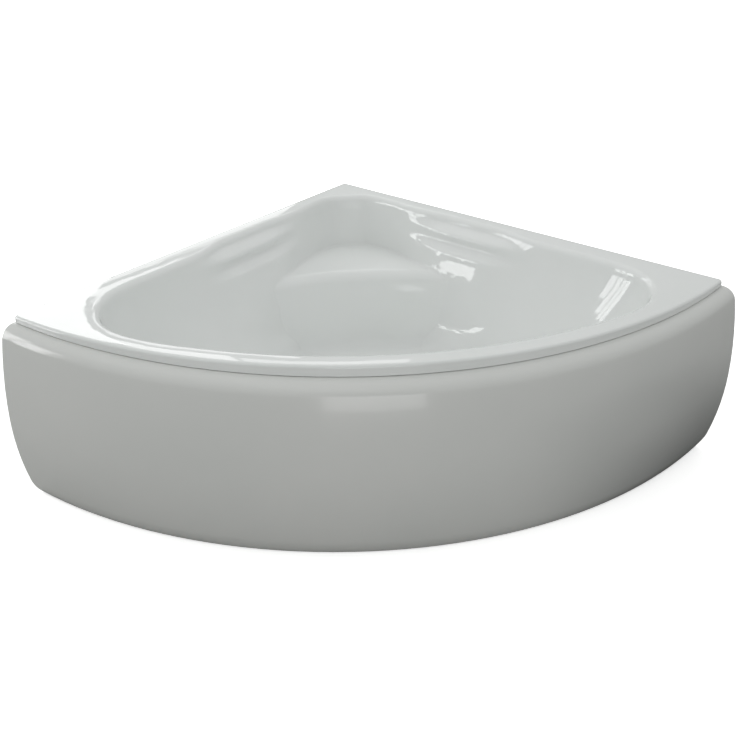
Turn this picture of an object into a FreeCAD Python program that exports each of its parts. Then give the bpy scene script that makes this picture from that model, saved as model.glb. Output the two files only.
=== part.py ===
"""Corner bathtub with a bowed front panel, as an assembly of its separate pieces.

Millimetres. The floor is z = 0 and the middle of the footprint is the origin. The two walls meet at
+Y and run forward at 45 degrees, so the object is symmetrical about x = 0 and its bow faces -Y.
"""
import FreeCAD, Part
import math
import os

V = FreeCAD.Vector
UP = V(0, 0, 1)
S45 = math.sqrt(0.5)

# --- driving dimensions: rim and panel -------------------------------------------------------
wall_side = 1400.0          # rim length along each wall, from the corner
front_depth = 1380.0        # from the corner to the middle of the rim front
rim_height = 565.0
shell_wall = 5.0            # acrylic with its glass fibre backing
lip_middle = 30.0           # lip height at the middle of the front and along the walls
lip_tip = 17.0              # the front lip thins towards both tips
rim_edge_radius = 8.0
rim_tip_radius = 14.0       # the rim's two tips, seen from above
panel_wall = 4.0
panel_bulge = 66.0          # widest part of the panel beyond the rim edge
panel_belly_drop = 290.0    # rim to the widest part of the panel
panel_upper_radius = 1250.0
panel_shoulder_radius = 42.0
panel_lower_radius = 850.0
panel_foot_radius = 150.0
panel_foot_bend = 60.0      # height where the foot starts to tuck under
panel_gap = 2.0             # under the lip
panel_floor_gap = 3.0
panel_wall_gap = 2.0
panel_flange = 30.0         # top flange, reaching in under the rim
panel_foot_flange = 25.0

# --- driving dimensions: bowl ----------------------------------------------------------------
deck_wall = 84.0            # deck width along the walls
deck_front = 65.0
deck_niche = 56.0           # deck width beside the corner niche
niche_back = 150.0          # corner to the back of the niche
niche_corner_radius = 95.0
lobe_radius = 198.0         # the two round ends of the bowl, seen from above
shoulder_start = 190.0      # along the wall, where the deck begins to widen
shoulder_end = 520.0
basin_depth = 400.0
floor_centre = 880.0        # from the corner, the point that the bowl narrows towards
floor_width_share = 0.64
floor_length_share = 0.77
bowl_flare = 1.45           # 1 is a straight slope; more is steeper at the top
rim_roll = 22.0             # where the deck turns down into the bowl
floor_round = 50.0
armrest_drop = 88.0         # rim to armrest ledge
armrest_width = 20.0
armrest_start = 330.0       # along the wall
armrest_end = 830.0
armrest_fade = 150.0
armrest_round = 10.0
seat_drop = 163.0           # rim to seat
seat_edge = 448.0           # corner to the seat front, on the centre line
seat_edge_radius = 884.0
seat_nose_radius = 44.0
seat_foot_radius = 60.0
seat_lean = 15.0            # degrees
seat_crease_radius = 12.0
loft_degree = 3             # cubic between sections, which keeps close sections from rippling

# --- driving dimensions: cradle, boards and feet ---------------------------------------------
batten_thick = 20.0
batten_lip_gap = 3.0        # room for the wall clips
board_bowl_gap = 1.0        # rim timber to the roll under the bowl's edge
batten_start = 90.0         # along the wall
batten_end = 1250.0
front_board_thick = 16.0
front_board_tip_gap = 200.0 # board end to the rim tip, measured across
front_board_lip_gap = 1.0
base_thick = 18.0
base_front = 1085.0         # corner to the board's front edge
base_back = 690.0
base_half_width = 360.0
base_corner_radius = 25.0
rail_width = 40.0
rail_height = 25.0
rail_wall = 2.5
rail_bend_radius = 4.0
rail_back_place = 745.0     # corner to rail
rail_front_place = 1050.0
rail_back_half = 270.0
rail_front_half = 350.0
foot_inset = 30.0           # rail end to foot
stud_diameter = 12.0
stud_clearance = 0.1        # radial
nut_across = 19.0
nut_height = 10.0
lock_nut_height = 6.0
pad_diameter = 50.0
pad_height = 18.0
pad_neck = 22.0
foot_travel_up = 10.0
foot_top_room = 2.0         # left above the stud when the foot is right up
screw_diameter = 4.0
screw_head = 8.0
screw_head_height = 2.4
screw_length = 14.0
screw_clearance = 0.1

# --- driving dimensions: brackets -------------------------------------------------------------
clip_plate = 2.0
clip_width = 40.0
hanger_places = (420.0, 1080.0)     # along each wall
hanger_drop = 62.0
hanger_hole = 5.5
hanger_hole_pitch = 30.0
hanger_hole_low = 14.0
hanger_rise = 16.0
hanger_lip_room = 0.5       # between the clip's upstand and the inside of the lip
top_clip_count = 5
top_clip_end_inset = 64.0   # outermost clip to the board end
top_clip_width = 24.0
top_clip_side_gap = 1.5     # to the inner edge of the panel's flange
top_clip_grip = 14.0        # under the flange
stay_places = (-290.0, -120.0, 120.0, 290.0)
stay_width = 25.0
stay_plate = 3.0
stay_overlap = 12.0
stay_bend_radius = 4.0

# --- driving dimensions: waste, trap and overflow ---------------------------------------------
waste_place = 900.0         # corner to waste
waste_hole = 52.0
waste_flange_diameter = 70.0
waste_flange_thick = 3.0
upper_gasket_thick = 2.0
lower_gasket_thick = 3.0
tail_diameter = 45.0
tail_length = 35.0          # below the flange
throat_diameter = 40.0
waste_body_diameter = 58.0
waste_body_bore = 50.0
waste_thread = 14.0         # below the spigots, for the trap's nut
waste_collar_diameter = 80.0
waste_collar_thick = 4.0
fit_clearance = 0.1         # radial, where one piece slips into another
turning_gap = 0.3           # between faces that move past each other
plug_diameter = 62.0
plug_edge = 2.5
plug_dome = 6.0
plug_spigot_diameter = 34.0
plug_spigot_height = 4.0
plug_seal_thick = 2.5
plug_seal_diameter = 54.0
stem_diameter = 8.0
stem_length = 52.0
spider_height = 5.0
spider_hub_diameter = 14.0
spider_arm_width = 4.0
spigot_wall = 4.0           # round the overflow pipe that pushes in
spigot_length = 18.0
trap_nut_wall = 8.0         # outside the thread of the waste body
trap_nut_height = 24.0
trap_nut_lip = 4.0
trap_washer_thick = 2.0
trap_collar_thick = 6.0
trap_neck_diameter = 50.0
trap_bowl_diameter = 92.0
trap_bowl_gap = 2.0         # trap's bowl to the nut above it
trap_wall = 3.0
trap_floor_gap = 12.0
dip_tube_diameter = 46.0
dip_tube_end_gap = 12.0
trap_port_diameter = 38.0
trap_port_length = 10.0
trap_cap_diameter = 46.0
trap_cap_length = 14.0
outlet_pipe_diameter = 40.0     # of the house's waste pipe that slips in
outlet_socket_clearance = 0.2
outlet_socket_depth = 32.0
outlet_wall = 3.0
outlet_reach = 105.0
outlet_nut_diameter = 58.0
outlet_nut_length = 26.0
outlet_nut_lip = 5.0
grip_count = 12
grip_radius = 2.2
overflow_drop = 100.0       # rim to overflow
overflow_hole = 48.0
overflow_plate_diameter = 70.0
overflow_plate_thick = 4.0
overflow_tail_diameter = 46.0
overflow_tail_length = 14.0
overflow_tail_wall = 3.0
overflow_slot_diameter = 7.0
overflow_slot_circle = 30.0
overflow_slot_count = 8
overflow_gasket_thick = 2.5
overflow_gasket_diameter = 60.0
overflow_body_diameter = 62.0
overflow_body_depth = 28.0
overflow_back_wall = 4.0
knob_diameter = 58.0
knob_height = 17.0
knob_edge_radius = 4.0
knob_gap = 0.6
knob_shaft_diameter = 10.0
knob_shaft_length = 24.0
pipe_diameter = 22.0
pipe_bore = 18.0
pipe_in_spigot = 12.0
pipe_nut_wall = 3.0         # outside the spigot
pipe_nut_height = 14.0
pipe_bend_radius = 90.0
pipe_rail_gap = 3.0
cable_diameter = 5.0
cable_port_diameter = 12.0
cable_port_gap = 0.0        # sideways from the pipe nut to the port
cable_in_port = 10.0
stay_screw_length = 8.0

# --- worked out --------------------------------------------------------------------------------
tip = wall_side * S45
arc_offset = (2 * tip ** 2 - front_depth ** 2) / (2 * (front_depth - tip))
rim_radius = front_depth + arc_offset
corner_y = (front_depth + panel_bulge) / 2
arc_y = corner_y + arc_offset
deck_under = rim_height - shell_wall
batten_width = deck_niche - rim_roll - board_bowl_gap - shell_wall - batten_lip_gap
front_board_width = deck_front - rim_roll - board_bowl_gap - shell_wall - front_board_lip_gap
floor_z = rim_height - basin_depth
panel_belly_z = rim_height - panel_belly_drop
under_z = floor_z - shell_wall
seat_z = rim_height - seat_drop
base_z = under_z - base_thick
rail_z = base_z - rail_height
pad_top = pad_height
waste_y = corner_y - waste_place
rail_web_z = base_z - rail_wall
pipe_z = rail_z - pipe_rail_gap - pipe_diameter / 2
spigot_diameter = pipe_diameter + 2 * spigot_wall
pipe_nut_diameter = spigot_diameter + 2 * pipe_nut_wall
cable_offset = (pipe_nut_diameter + cable_port_diameter) / 2 + cable_port_gap
waste_low_z = pipe_z - spigot_diameter / 2 - waste_thread
trap_nut_diameter = waste_body_diameter + 2 * trap_nut_wall
plug_z = floor_z + upper_gasket_thick + waste_flange_thick + turning_gap + plug_seal_thick
trap_top_z = waste_low_z - trap_washer_thick
trap_bowl_top = trap_top_z - trap_collar_thick - trap_nut_lip - trap_bowl_gap
trap_bowl_height = trap_bowl_top - trap_floor_gap
outlet_z = trap_floor_gap + trap_bowl_height / 2


# --- helpers -----------------------------------------------------------------------------------
def rounded_wire(points, radii):
    """Closed wire through corner points, each corner rounded by its own radius."""
    count = len(points)
    starts = []
    ends = []
    middles = []
    for i in range(count):
        here = points[i]
        before = (points[i - 1] - here).normalize()
        after = (points[(i + 1) % count] - here).normalize()
        if radii[i] <= 0:
            starts.append(here)
            ends.append(here)
            middles.append(None)
            continue
        half = before.getAngle(after) / 2
        setback = radii[i] / math.tan(half)
        bisector = (before + after).normalize()
        centre = here + bisector * (radii[i] / math.sin(half))
        starts.append(here + before * setback)
        ends.append(here + after * setback)
        middles.append(centre - bisector * radii[i])
    edges = []
    for i in range(count):
        if middles[i] is not None:
            edges.append(Part.Arc(starts[i], middles[i], ends[i]).toShape())
        following = starts[(i + 1) % count]
        if (following - ends[i]).Length > 1e-6:
            edges.append(Part.LineSegment(ends[i], following).toShape())
    return Part.Wire(edges)


def flat_plate(points, radii, z, thick):
    """Plate of an outline given as (x, y) corners, from z upwards."""
    wire = rounded_wire([V(x, y, z) for x, y in points], radii)
    return Part.Face(wire).extrude(UP * thick)


def disc(diameter, height, base, axis=UP):
    return Part.makeCylinder(diameter / 2, height, base, axis)


def ring(diameter, bore, height, base, axis=UP):
    return disc(diameter, height, base, axis).cut(disc(bore, height, base, axis))


def hexagon(across, height, base):
    corner = across / math.sqrt(3)
    points = [V(base.x + corner * math.cos(math.radians(60 * i)),
                base.y + corner * math.sin(math.radians(60 * i)), base.z) for i in range(7)]
    return Part.Face(Part.makePolygon(points)).extrude(UP * height)


def hex_nut(across, bore, height, base):
    """Nut with both faces chamfered to a circle."""
    body = hexagon(across, height, base)
    drum = disc(across * 1.12, height, base)
    drum = drum.makeChamfer(across * 0.06, [e for e in drum.Edges if e.Closed])
    return body.common(drum).cut(disc(bore, height, base))


def turned(points, base):
    """Solid of revolution about the vertical through base, from (radius, height) corners."""
    outline = [base + V(r, 0, z) for r, z in points]
    face = Part.Face(Part.makePolygon(outline + outline[:1]))
    return face.revolve(base, UP, 360)


def mirrored(shape):
    return shape.mirror(V(0, 0, 0), V(1, 0, 0))


def tilt_to(shape, origin, direction):
    """Move a shape built about +Z at the origin so that its Z is direction and its foot origin."""
    placed = shape.copy()
    placed.Placement = FreeCAD.Placement(origin, FreeCAD.Rotation(UP, direction))
    return placed


def screw(base, direction, length=screw_length):
    """Pan head screw, base under its head, pointing along direction."""
    shank = disc(screw_diameter, length, V(0, 0, 0))
    head = disc(screw_head, screw_head_height, V(0, 0, -screw_head_height))
    top = [e for e in head.Edges if e.Closed and e.BoundBox.ZMax < -screw_head_height / 2]
    head = head.makeFillet(screw_head_height * 0.6, top)
    return tilt_to(shank.fuse(head).removeSplitter(), base, direction)


def screw_hole(base, direction, length=screw_length):
    return disc(screw_diameter + 2 * screw_clearance, length + 1, base, direction)


def smooth_step(value):
    value = min(max(value, 0.0), 1.0)
    return value * value * (3 - 2 * value)


def wall_point(along, inset, z=0.0):
    """Point beside the right-hand wall: distance along it from the corner, and in from it."""
    return V((along - inset) * S45, corner_y - (along + inset) * S45, z)


def save(name, *solids):
    shape = solids[0] if len(solids) == 1 else Part.makeCompound(list(solids))
    shape.exportStep("parts/%s.step" % name)
    print(name, len(shape.Solids), round(shape.Volume))


# --- rim outline -------------------------------------------------------------------------------
def deck_outline(inset, z):
    """Two straight wall sides and the bowed front, all moved in by the inset."""
    radius = rim_radius - inset
    drop = inset * 2 * S45
    along = arc_offset + drop
    reach = (-along + math.sqrt(2 * radius ** 2 - along ** 2)) / 2
    corner = V(0, corner_y - drop, z)
    right = V(reach, corner_y - drop - reach, z)
    left = V(-reach, corner_y - drop - reach, z)
    front = V(0, arc_y - radius, z)
    return Part.Wire([Part.LineSegment(corner, right).toShape(),
                      Part.Arc(right, front, left).toShape(),
                      Part.LineSegment(left, corner).toShape()])


def rim_block(inset, low, high):
    """Slab of the rim's outline, moved in by the inset, with its two tips rounded."""
    block = Part.Face(deck_outline(inset, low)).extrude(UP * (high - low))
    tips = [e for e in block.Edges if e.BoundBox.ZLength > high - low - 0.1 and abs(e.CenterOfMass.x) > 1]
    return block.makeFillet(rim_tip_radius - inset, tips)


def lip_drop(x):
    """Lip height at a place on the front, thinning in an arch towards the tips."""
    return lip_middle - (lip_middle - lip_tip) * (x / tip) ** 2


def front_point(angle, offset, z):
    """Point beside the front arc: angle from the middle, distance out from the rim edge."""
    radius = rim_radius + offset
    return V(radius * math.sin(angle), arc_y - radius * math.cos(angle), z)


def wall_cutter(gap):
    """Everything behind the two walls, to trim what runs up to them."""
    reach = 3 * wall_side
    tall = 2 * rim_height
    back = corner_y - gap * 2 * S45
    points = [V(0, back, -tall), V(reach, back - reach, -tall), V(reach, back + reach, -tall),
              V(-reach, back + reach, -tall), V(-reach, back - reach, -tall)]
    return Part.Face(Part.makePolygon(points + points[:1])).extrude(UP * 2 * tall)


# --- bowl --------------------------------------------------------------------------------------
def half_rim():
    """Right half of the bowl's edge in the deck, niche first: (point, distance along the wall)."""
    turn = math.radians(45)
    setback = niche_corner_radius * math.tan(turn / 2)
    corner_x = niche_back - deck_niche * 2 * S45
    centre = V(corner_x - setback, corner_y - niche_back - niche_corner_radius, 0)
    stations = [(V(0, corner_y - niche_back, 0), 0.0)]
    for share in (0.0, 0.5, 1.0):
        angle = turn * share
        point = centre + V(math.sin(angle), math.cos(angle), 0) * niche_corner_radius
        stations.append((point, 0.0))
    wall_start = corner_x / S45 + deck_niche + setback
    lobe_inset = deck_wall + lobe_radius
    front = rim_radius - deck_front
    centre_shift = arc_offset * S45
    lobe_along = math.sqrt((front - lobe_radius) ** 2 - (lobe_inset + centre_shift) ** 2) - centre_shift
    count = 9
    for i in range(1, count + 1):
        along = wall_start + (lobe_along - wall_start) * i / count
        wide = smooth_step((along - shoulder_start) / (shoulder_end - shoulder_start))
        inset = deck_niche + (deck_wall - deck_niche) * wide
        stations.append((wall_point(along, inset), along))
    end_turn = math.pi / 2 + math.atan2(lobe_inset + centre_shift, lobe_along + centre_shift)
    for share in (0.25, 0.5, 0.75, 1.0):
        angle = end_turn * share
        along = lobe_along + lobe_radius * math.sin(angle)
        inset = lobe_inset - lobe_radius * math.cos(angle)
        stations.append((wall_point(along, inset), 0.0))
    last = stations[-1][0]
    last_angle = math.atan2(last.x, arc_y - last.y)
    for share in (0.75, 0.5, 0.25, 0.0):
        stations.append((front_point(last_angle * share, -deck_front, 0), 0.0))
    return stations


def armrest_share(along):
    rise = smooth_step((along - armrest_start) / armrest_fade)
    fall = smooth_step((armrest_end - along) / armrest_fade)
    return rise * fall


def ledge_share(depth):
    """How much of the armrest ledge stands out at a depth below the rim."""
    below = smooth_step((depth - armrest_drop + armrest_round) / (2 * armrest_round))
    fade = 1 - smooth_step((depth - seat_drop) / (basin_depth - seat_drop) / 0.7)
    return below * fade


def bowl_points(depth, grow=0.0):
    """Closed ring of points of the bowl at a depth, moved out by grow."""
    share = (depth / basin_depth) ** bowl_flare
    width = 1 - (1 - floor_width_share) * share
    length = 1 - (1 - floor_length_share) * share
    centre = corner_y - floor_centre
    half = []
    for point, along in half_rim():
        ledge = armrest_width * armrest_share(along) * ledge_share(depth)
        half.append(V(point.x * width - ledge * S45, centre + (point.y - centre) * length - ledge * S45,
                      rim_height - depth))
    loop = half + [V(-p.x, p.y, p.z) for p in reversed(half[1:-1])]
    if not grow:
        return loop
    grown = []
    for i, here in enumerate(loop):
        tangent = loop[(i + 1) % len(loop)] - loop[i - 1]
        outward = V(-tangent.y, tangent.x, 0).normalize()
        grown.append(here + outward * grow)
    return grown


def bowl_wire(depth, grow, z):
    points = bowl_points(depth, grow)
    rim = bowl_points(0)
    steps = [0.0]
    for i in range(len(rim)):
        steps.append(steps[-1] + (rim[(i + 1) % len(rim)] - rim[i]).Length)
    knots = [step / steps[-1] for step in steps]
    curve = Part.BSplineCurve()
    curve.interpolate(Points=[V(p.x, p.y, z) for p in points], PeriodicFlag=True, Parameters=knots)
    return Part.Wire(curve.toShape())


def bowl_levels():
    """Depths below the rim of the bowl's sections, closer together at the armrest ledge."""
    top = armrest_drop - armrest_round
    low = armrest_drop + armrest_round
    below = basin_depth - seat_drop
    upper = [top * share for share in (0.0, 0.5, 0.83, 1.0)]
    middle = [low + (seat_drop - low) * share for share in (0.0, 0.2, 0.55, 1.0)]
    return upper + [armrest_drop] + middle + [seat_drop + below * share for share in (0.25, 0.5, 0.75, 1.0)]


def seat_block(grow):
    """What stands in the bowl behind the seat's front: turned about an axis near the front rim."""
    axis_y = corner_y - seat_edge - seat_edge_radius
    nose = seat_edge_radius + grow
    top = seat_z - grow
    low = floor_z - grow
    foot = nose - (top - low) * math.tan(math.radians(seat_lean))
    slope = math.tan(math.radians(8))
    below = low - 60
    back = seat_edge_radius + seat_edge
    corners = [(back, below), (back, top), (nose, top), (foot, low),
               (foot - 120, low - 120 * slope), (foot - 120, below)]
    radii = [0, 0, seat_nose_radius - grow, seat_foot_radius + grow, 0, 0]
    wire = rounded_wire([V(0, axis_y + r, z) for r, z in corners], radii)
    sweep = 60
    solid = Part.Face(wire).revolve(V(0, axis_y, 0), UP, sweep)
    solid.rotate(V(0, axis_y, 0), UP, -sweep / 2)
    return solid


def bowl(grow):
    """Solid that fills the bowl; grown by the wall it is the bowl's underside."""
    wires = []
    for depth in bowl_levels():
        z = rim_height - depth
        if depth == basin_depth:
            z -= grow
        wires.append(bowl_wire(depth, grow, z))
    solid = Part.makeLoft(wires, True, False, False, loft_degree)
    floor_edges = [e for e in solid.Edges if e.CenterOfMass.z < floor_z + 1]
    solid = solid.makeFillet(floor_round + grow, floor_edges).cut(seat_block(grow))
    level = seat_z - grow
    creases = [e for e in solid.Edges if e.Curve.TypeId == "Part::GeomBSplineCurve"
               and abs(e.BoundBox.ZMin - level) < 0.5 and abs(e.BoundBox.ZMax - level) < 0.5]
    return solid.makeFillet(seat_crease_radius + grow, creases)


def level_curves(shape, z):
    """The free-form edges that lie at one height."""
    return [e for e in shape.Edges if e.Curve.TypeId == "Part::GeomBSplineCurve"
            and abs(e.CenterOfMass.z - z) < 0.01]


def overflow_seat():
    """Middle of the overflow hole on the bowl's front wall, and the direction into the bowl."""
    points = [bowl_points(overflow_drop + step) for step in (-20, 0, 20)]
    front = [min(ring_points, key=lambda p: p.y) for ring_points in points]
    rise = front[0] - front[2]
    inward = V(0, rise.z, -rise.y).normalize()
    return front[1], inward


def tub_shell():
    """Thermoformed sheet: deck, lip, bowl with seat and armrests, and the two drain holes."""
    block = rim_block(0, rim_height - lip_middle, rim_height)
    block = block.makeFillet(rim_edge_radius, [e for e in block.Edges if e.BoundBox.ZMin > rim_height - 1])
    deck = block.cut(rim_block(shell_wall, rim_height - lip_middle, deck_under))
    inner = bowl(0)
    shell = deck.fuse(bowl(shell_wall))
    shell = shell.makeFillet(rim_roll - shell_wall, level_curves(shell, deck_under))
    shell = shell.cut(inner)
    shell = shell.makeFillet(rim_roll, level_curves(shell, rim_height))
    arch_half = tip * 1.05
    arch_low = rim_height - lip_middle - 20
    left = V(-arch_half, 0, rim_height - lip_drop(arch_half))
    right = V(arch_half, 0, rim_height - lip_drop(arch_half))
    middle = V(0, 0, rim_height - lip_middle)
    arch = Part.Wire([Part.Arc(left, middle, right).toShape(),
                      Part.makePolygon([right, V(arch_half, 0, arch_low), V(-arch_half, 0, arch_low),
                                        left])])
    trim = Part.Face(arch).extrude(V(0, -front_depth, 0))
    trim.translate(V(0, corner_y - tip + panel_flange + 5, 0))
    shell = shell.cut(trim.cut(rim_block(shell_wall + 1, arch_low - 1, rim_height)))
    shell = shell.cut(disc(waste_hole, 60, V(0, waste_y, floor_z - 50)))
    place, inward = overflow_seat()
    plate = disc(overflow_plate_diameter + 6, shell_wall, place - inward * shell_wall, inward)
    clear = disc(overflow_plate_diameter + 6, 30, place, inward)
    hole = disc(overflow_hole, 60, place - inward * 30, inward)
    return shell.fuse(plate).cut(clear).cut(hole)


# --- front panel -------------------------------------------------------------------------------
def panel_section(angle):
    """Closed profile of the panel at an angle from the middle of the front."""
    x = rim_radius * math.sin(angle)
    top = rim_height - lip_drop(x) - panel_gap
    belly = panel_belly_z
    rise = (top - panel_shoulder_radius - belly) / (panel_upper_radius - panel_shoulder_radius)
    upper_turn = math.asin(rise)
    lower_turn = math.asin((belly - panel_foot_bend) / panel_lower_radius)
    upper_centre = panel_bulge - panel_upper_radius
    lower_centre = panel_bulge - panel_lower_radius
    shoulder_reach = panel_upper_radius - panel_shoulder_radius
    shoulder = (upper_centre + shoulder_reach * math.cos(upper_turn), top - panel_shoulder_radius)
    foot_reach = panel_lower_radius - panel_foot_radius
    foot = (lower_centre + foot_reach * math.cos(lower_turn), belly - foot_reach * math.sin(lower_turn))
    foot_turn = math.asin((foot[1] - panel_floor_gap) / panel_foot_radius)
    inner_foot = panel_floor_gap + panel_wall
    inner_turn = math.asin((foot[1] - inner_foot) / (panel_foot_radius - panel_wall))

    def at(centre, radius, turn):
        return front_point(angle, centre[0] + radius * math.cos(turn), centre[1] + radius * math.sin(turn))

    def arc(centre, radius, first, last):
        middle = (first + last) / 2
        return Part.Arc(at(centre, radius, first), at(centre, radius, middle), at(centre, radius, last))

    upper = (upper_centre, belly)
    lower = (lower_centre, belly)
    quarter = math.pi / 2
    flange_in = front_point(angle, shoulder[0] - panel_flange, top)
    flange_low = front_point(angle, shoulder[0] - panel_flange, top - panel_wall)
    foot_end = foot[0] + (panel_foot_radius - panel_wall) * math.cos(inner_turn) - panel_foot_flange
    foot_in = front_point(angle, foot_end, inner_foot)
    foot_low = front_point(angle, foot_end, panel_floor_gap)
    thin = panel_wall
    curves = [arc(shoulder, panel_shoulder_radius, quarter, upper_turn),
              arc(upper, panel_upper_radius, upper_turn, 0),
              arc(lower, panel_lower_radius, 0, -lower_turn),
              arc(foot, panel_foot_radius, -lower_turn, -foot_turn),
              Part.LineSegment(at(foot, panel_foot_radius, -foot_turn), foot_low),
              Part.LineSegment(foot_low, foot_in),
              Part.LineSegment(foot_in, at(foot, panel_foot_radius - thin, -inner_turn)),
              arc(foot, panel_foot_radius - thin, -inner_turn, -lower_turn),
              arc(lower, panel_lower_radius - thin, -lower_turn, 0),
              arc(upper, panel_upper_radius - thin, 0, upper_turn),
              arc(shoulder, panel_shoulder_radius - thin, upper_turn, quarter),
              Part.LineSegment(at(shoulder, panel_shoulder_radius - thin, quarter), flange_low),
              Part.LineSegment(flange_low, flange_in),
              Part.LineSegment(flange_in, at(shoulder, panel_shoulder_radius, quarter))]
    return Part.Wire([curve.toShape() for curve in curves])


def front_panel():
    """Bowed panel: the section follows the arched lip from tip to tip, then the walls trim it."""
    reach = math.asin(tip / rim_radius) + math.radians(2.5)
    count = 10
    sections = [panel_section(-reach + 2 * reach * i / count) for i in range(count + 1)]
    loft = Part.makeLoft(sections, True, False, False, loft_degree)
    return loft.cut(wall_cutter(panel_wall_gap))


# --- rim timber, base board and rails ----------------------------------------------------------
def rim_batten():
    """Batten glued under the deck along the right-hand wall."""
    inset = shell_wall + batten_lip_gap
    low = deck_under - batten_thick
    corners = [wall_point(batten_start, inset), wall_point(batten_end, inset),
               wall_point(batten_end, inset + batten_width), wall_point(batten_start + batten_width,
                                                                        inset + batten_width)]
    return flat_plate([(p.x, p.y) for p in corners], [0, 3, 3, 0], low, batten_thick)


def front_rim_board():
    """Board glued under the deck behind the front lip, which the panel's top clips screw to."""
    half = math.asin((tip - front_board_tip_gap) / rim_radius)
    outer = -shell_wall - front_board_lip_gap
    inner = outer - front_board_width
    low = deck_under - front_board_thick
    front = [front_point(half * share, outer, low) for share in (-1, 0, 1)]
    back = [front_point(half * share, inner, low) for share in (1, 0, -1)]
    edges = [Part.Arc(*front), Part.LineSegment(front[-1], back[0]), Part.Arc(*back),
             Part.LineSegment(back[-1], front[0])]
    wire = Part.Wire([edge.toShape() for edge in edges])
    board = Part.Face(wire).extrude(UP * front_board_thick)
    for angle in top_clip_turns():
        board = board.cut(screw_hole(top_clip_screw_place(angle), UP))
    return board


def base_board():
    front = corner_y - base_front
    back = corner_y - base_back
    wide = base_half_width
    points = [(-wide, front + 40), (-wide + 60, front), (wide - 60, front), (wide, front + 40),
              (wide, back - 160), (wide - 140, back), (-wide + 140, back), (-wide, back - 160)]
    board = flat_plate(points, [base_corner_radius] * 8, base_z, base_thick)
    opening = waste_collar_diameter + 30
    board = board.cut(disc(opening, base_thick, V(0, waste_y, base_z)))
    for place, half in ((rail_front_place, rail_front_half), (rail_back_place, rail_back_half)):
        for x in rail_screw_places(half):
            board = board.cut(screw_hole(V(x, corner_y - place, rail_web_z), UP))
    return board


def rail_front():
    """The front rail also takes the screws of the panel's stays."""
    solid = rail(rail_front_place, rail_front_half)
    for x in stay_places:
        start = stay_screw_place(x)
        solid = solid.cut(screw_hole(start, V(0, 1, 0), stay_screw_length))
    return solid


def rail(place, half_length):
    """Channel rail, open downwards, with a hole for each foot."""
    y = corner_y - place
    low = rail_z
    width = rail_width / 2
    inner = width - rail_wall
    top = base_z
    points = [(-width, low), (-width, top), (width, top), (width, low),
              (inner, low), (inner, top - rail_wall), (-inner, top - rail_wall), (-inner, low)]
    outer_bend = rail_bend_radius
    inner_bend = rail_bend_radius - rail_wall
    radii = [0, outer_bend, outer_bend, 0, 0, inner_bend, inner_bend, 0]
    wire = rounded_wire([V(-half_length, y + a, b) for a, b in points], radii)
    solid = Part.Face(wire).extrude(V(2 * half_length, 0, 0))
    for x in (-half_length + foot_inset, half_length - foot_inset):
        solid = solid.cut(disc(stud_diameter + 2, rail_wall + 1, V(x, y, rail_web_z - 0.5)))
    for x in rail_screw_places(half_length):
        solid = solid.cut(screw_hole(V(x, y, rail_web_z - 0.5), UP, rail_wall))
    return solid


def rail_screw_places(half_length):
    third = (half_length - foot_inset) * 0.6
    return (-third, third)


def foot_places():
    places = []
    for place, half in ((rail_front_place, rail_front_half), (rail_back_place, rail_back_half)):
        for side in (-1, 1):
            places.append((side * (half - foot_inset), corner_y - place))
    return places


def rail_nut(x, y):
    """Nut welded under the rail's web, which the stud is threaded through."""
    bore = stud_diameter + 2 * stud_clearance
    return hex_nut(nut_across, bore, nut_height, V(x, y, rail_web_z - nut_height))


def lock_nut(x, y):
    bore = stud_diameter + 2 * stud_clearance
    return hex_nut(nut_across, bore, lock_nut_height, V(x, y, rail_web_z - nut_height - lock_nut_height))


def foot_stud(x, y):
    top = base_z - foot_travel_up - foot_top_room
    start = pad_top - 8
    stud = disc(stud_diameter, top - start, V(x, y, start))
    end = [e for e in stud.Edges if e.Closed and e.BoundBox.ZMin > top - 0.5]
    return stud.makeChamfer(1.2, end)


def foot_pad(x, y):
    """Moulded pad: wide foot, cone and neck, with a blind socket for the stud."""
    profile = [(0, 0), (pad_diameter / 2, 0), (pad_diameter / 2, 4), (pad_neck / 2 + 1, 9),
               (pad_neck / 2, pad_top), (stud_diameter / 2, pad_top), (stud_diameter / 2, pad_top - 8),
               (0, pad_top - 8)]
    return turned(profile, V(x, y, 0))


# --- brackets ----------------------------------------------------------------------------------
def hanger_clip(along):
    """Wall clip: a plate on the wall, a shelf under the lip and an upstand behind it."""
    shelf = rim_height - lip_middle
    upstand = shell_wall + hanger_lip_room
    back = upstand + clip_plate
    outline = [(0, shelf - hanger_drop), (0, shelf), (upstand, shelf), (upstand, shelf + hanger_rise),
               (back, shelf + hanger_rise), (back, shelf - clip_plate), (clip_plate, shelf - clip_plate),
               (clip_plate, shelf - hanger_drop)]
    wire = rounded_wire([V(0, y, z) for y, z in outline], [0, 0, 0, 0, 0, clip_plate, 0, 0])
    clip = Part.Face(wire).extrude(V(clip_width, 0, 0))
    for step in (0, 1):
        z = shelf - hanger_drop + hanger_hole_low + step * hanger_hole_pitch
        clip = clip.cut(disc(hanger_hole, back + clip_plate, V(clip_width / 2, -1, z), V(0, 1, 0)))
    clip.translate(V(-clip_width / 2, 0, 0))
    clip.rotate(V(0, 0, 0), UP, 180 + 45)
    base = mirror_wall_point(along)
    clip.translate(base)
    return clip


def mirror_wall_point(along):
    point = wall_point(along, 0)
    return V(-point.x, point.y, 0)


def top_clip_turns():
    """Angles of the panel's top clips from the middle of the front, evenly spaced along the board."""
    half = math.asin((tip - front_board_tip_gap - top_clip_end_inset) / rim_radius)
    return [half * (2 * i / (top_clip_count - 1) - 1) for i in range(top_clip_count)]


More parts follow.
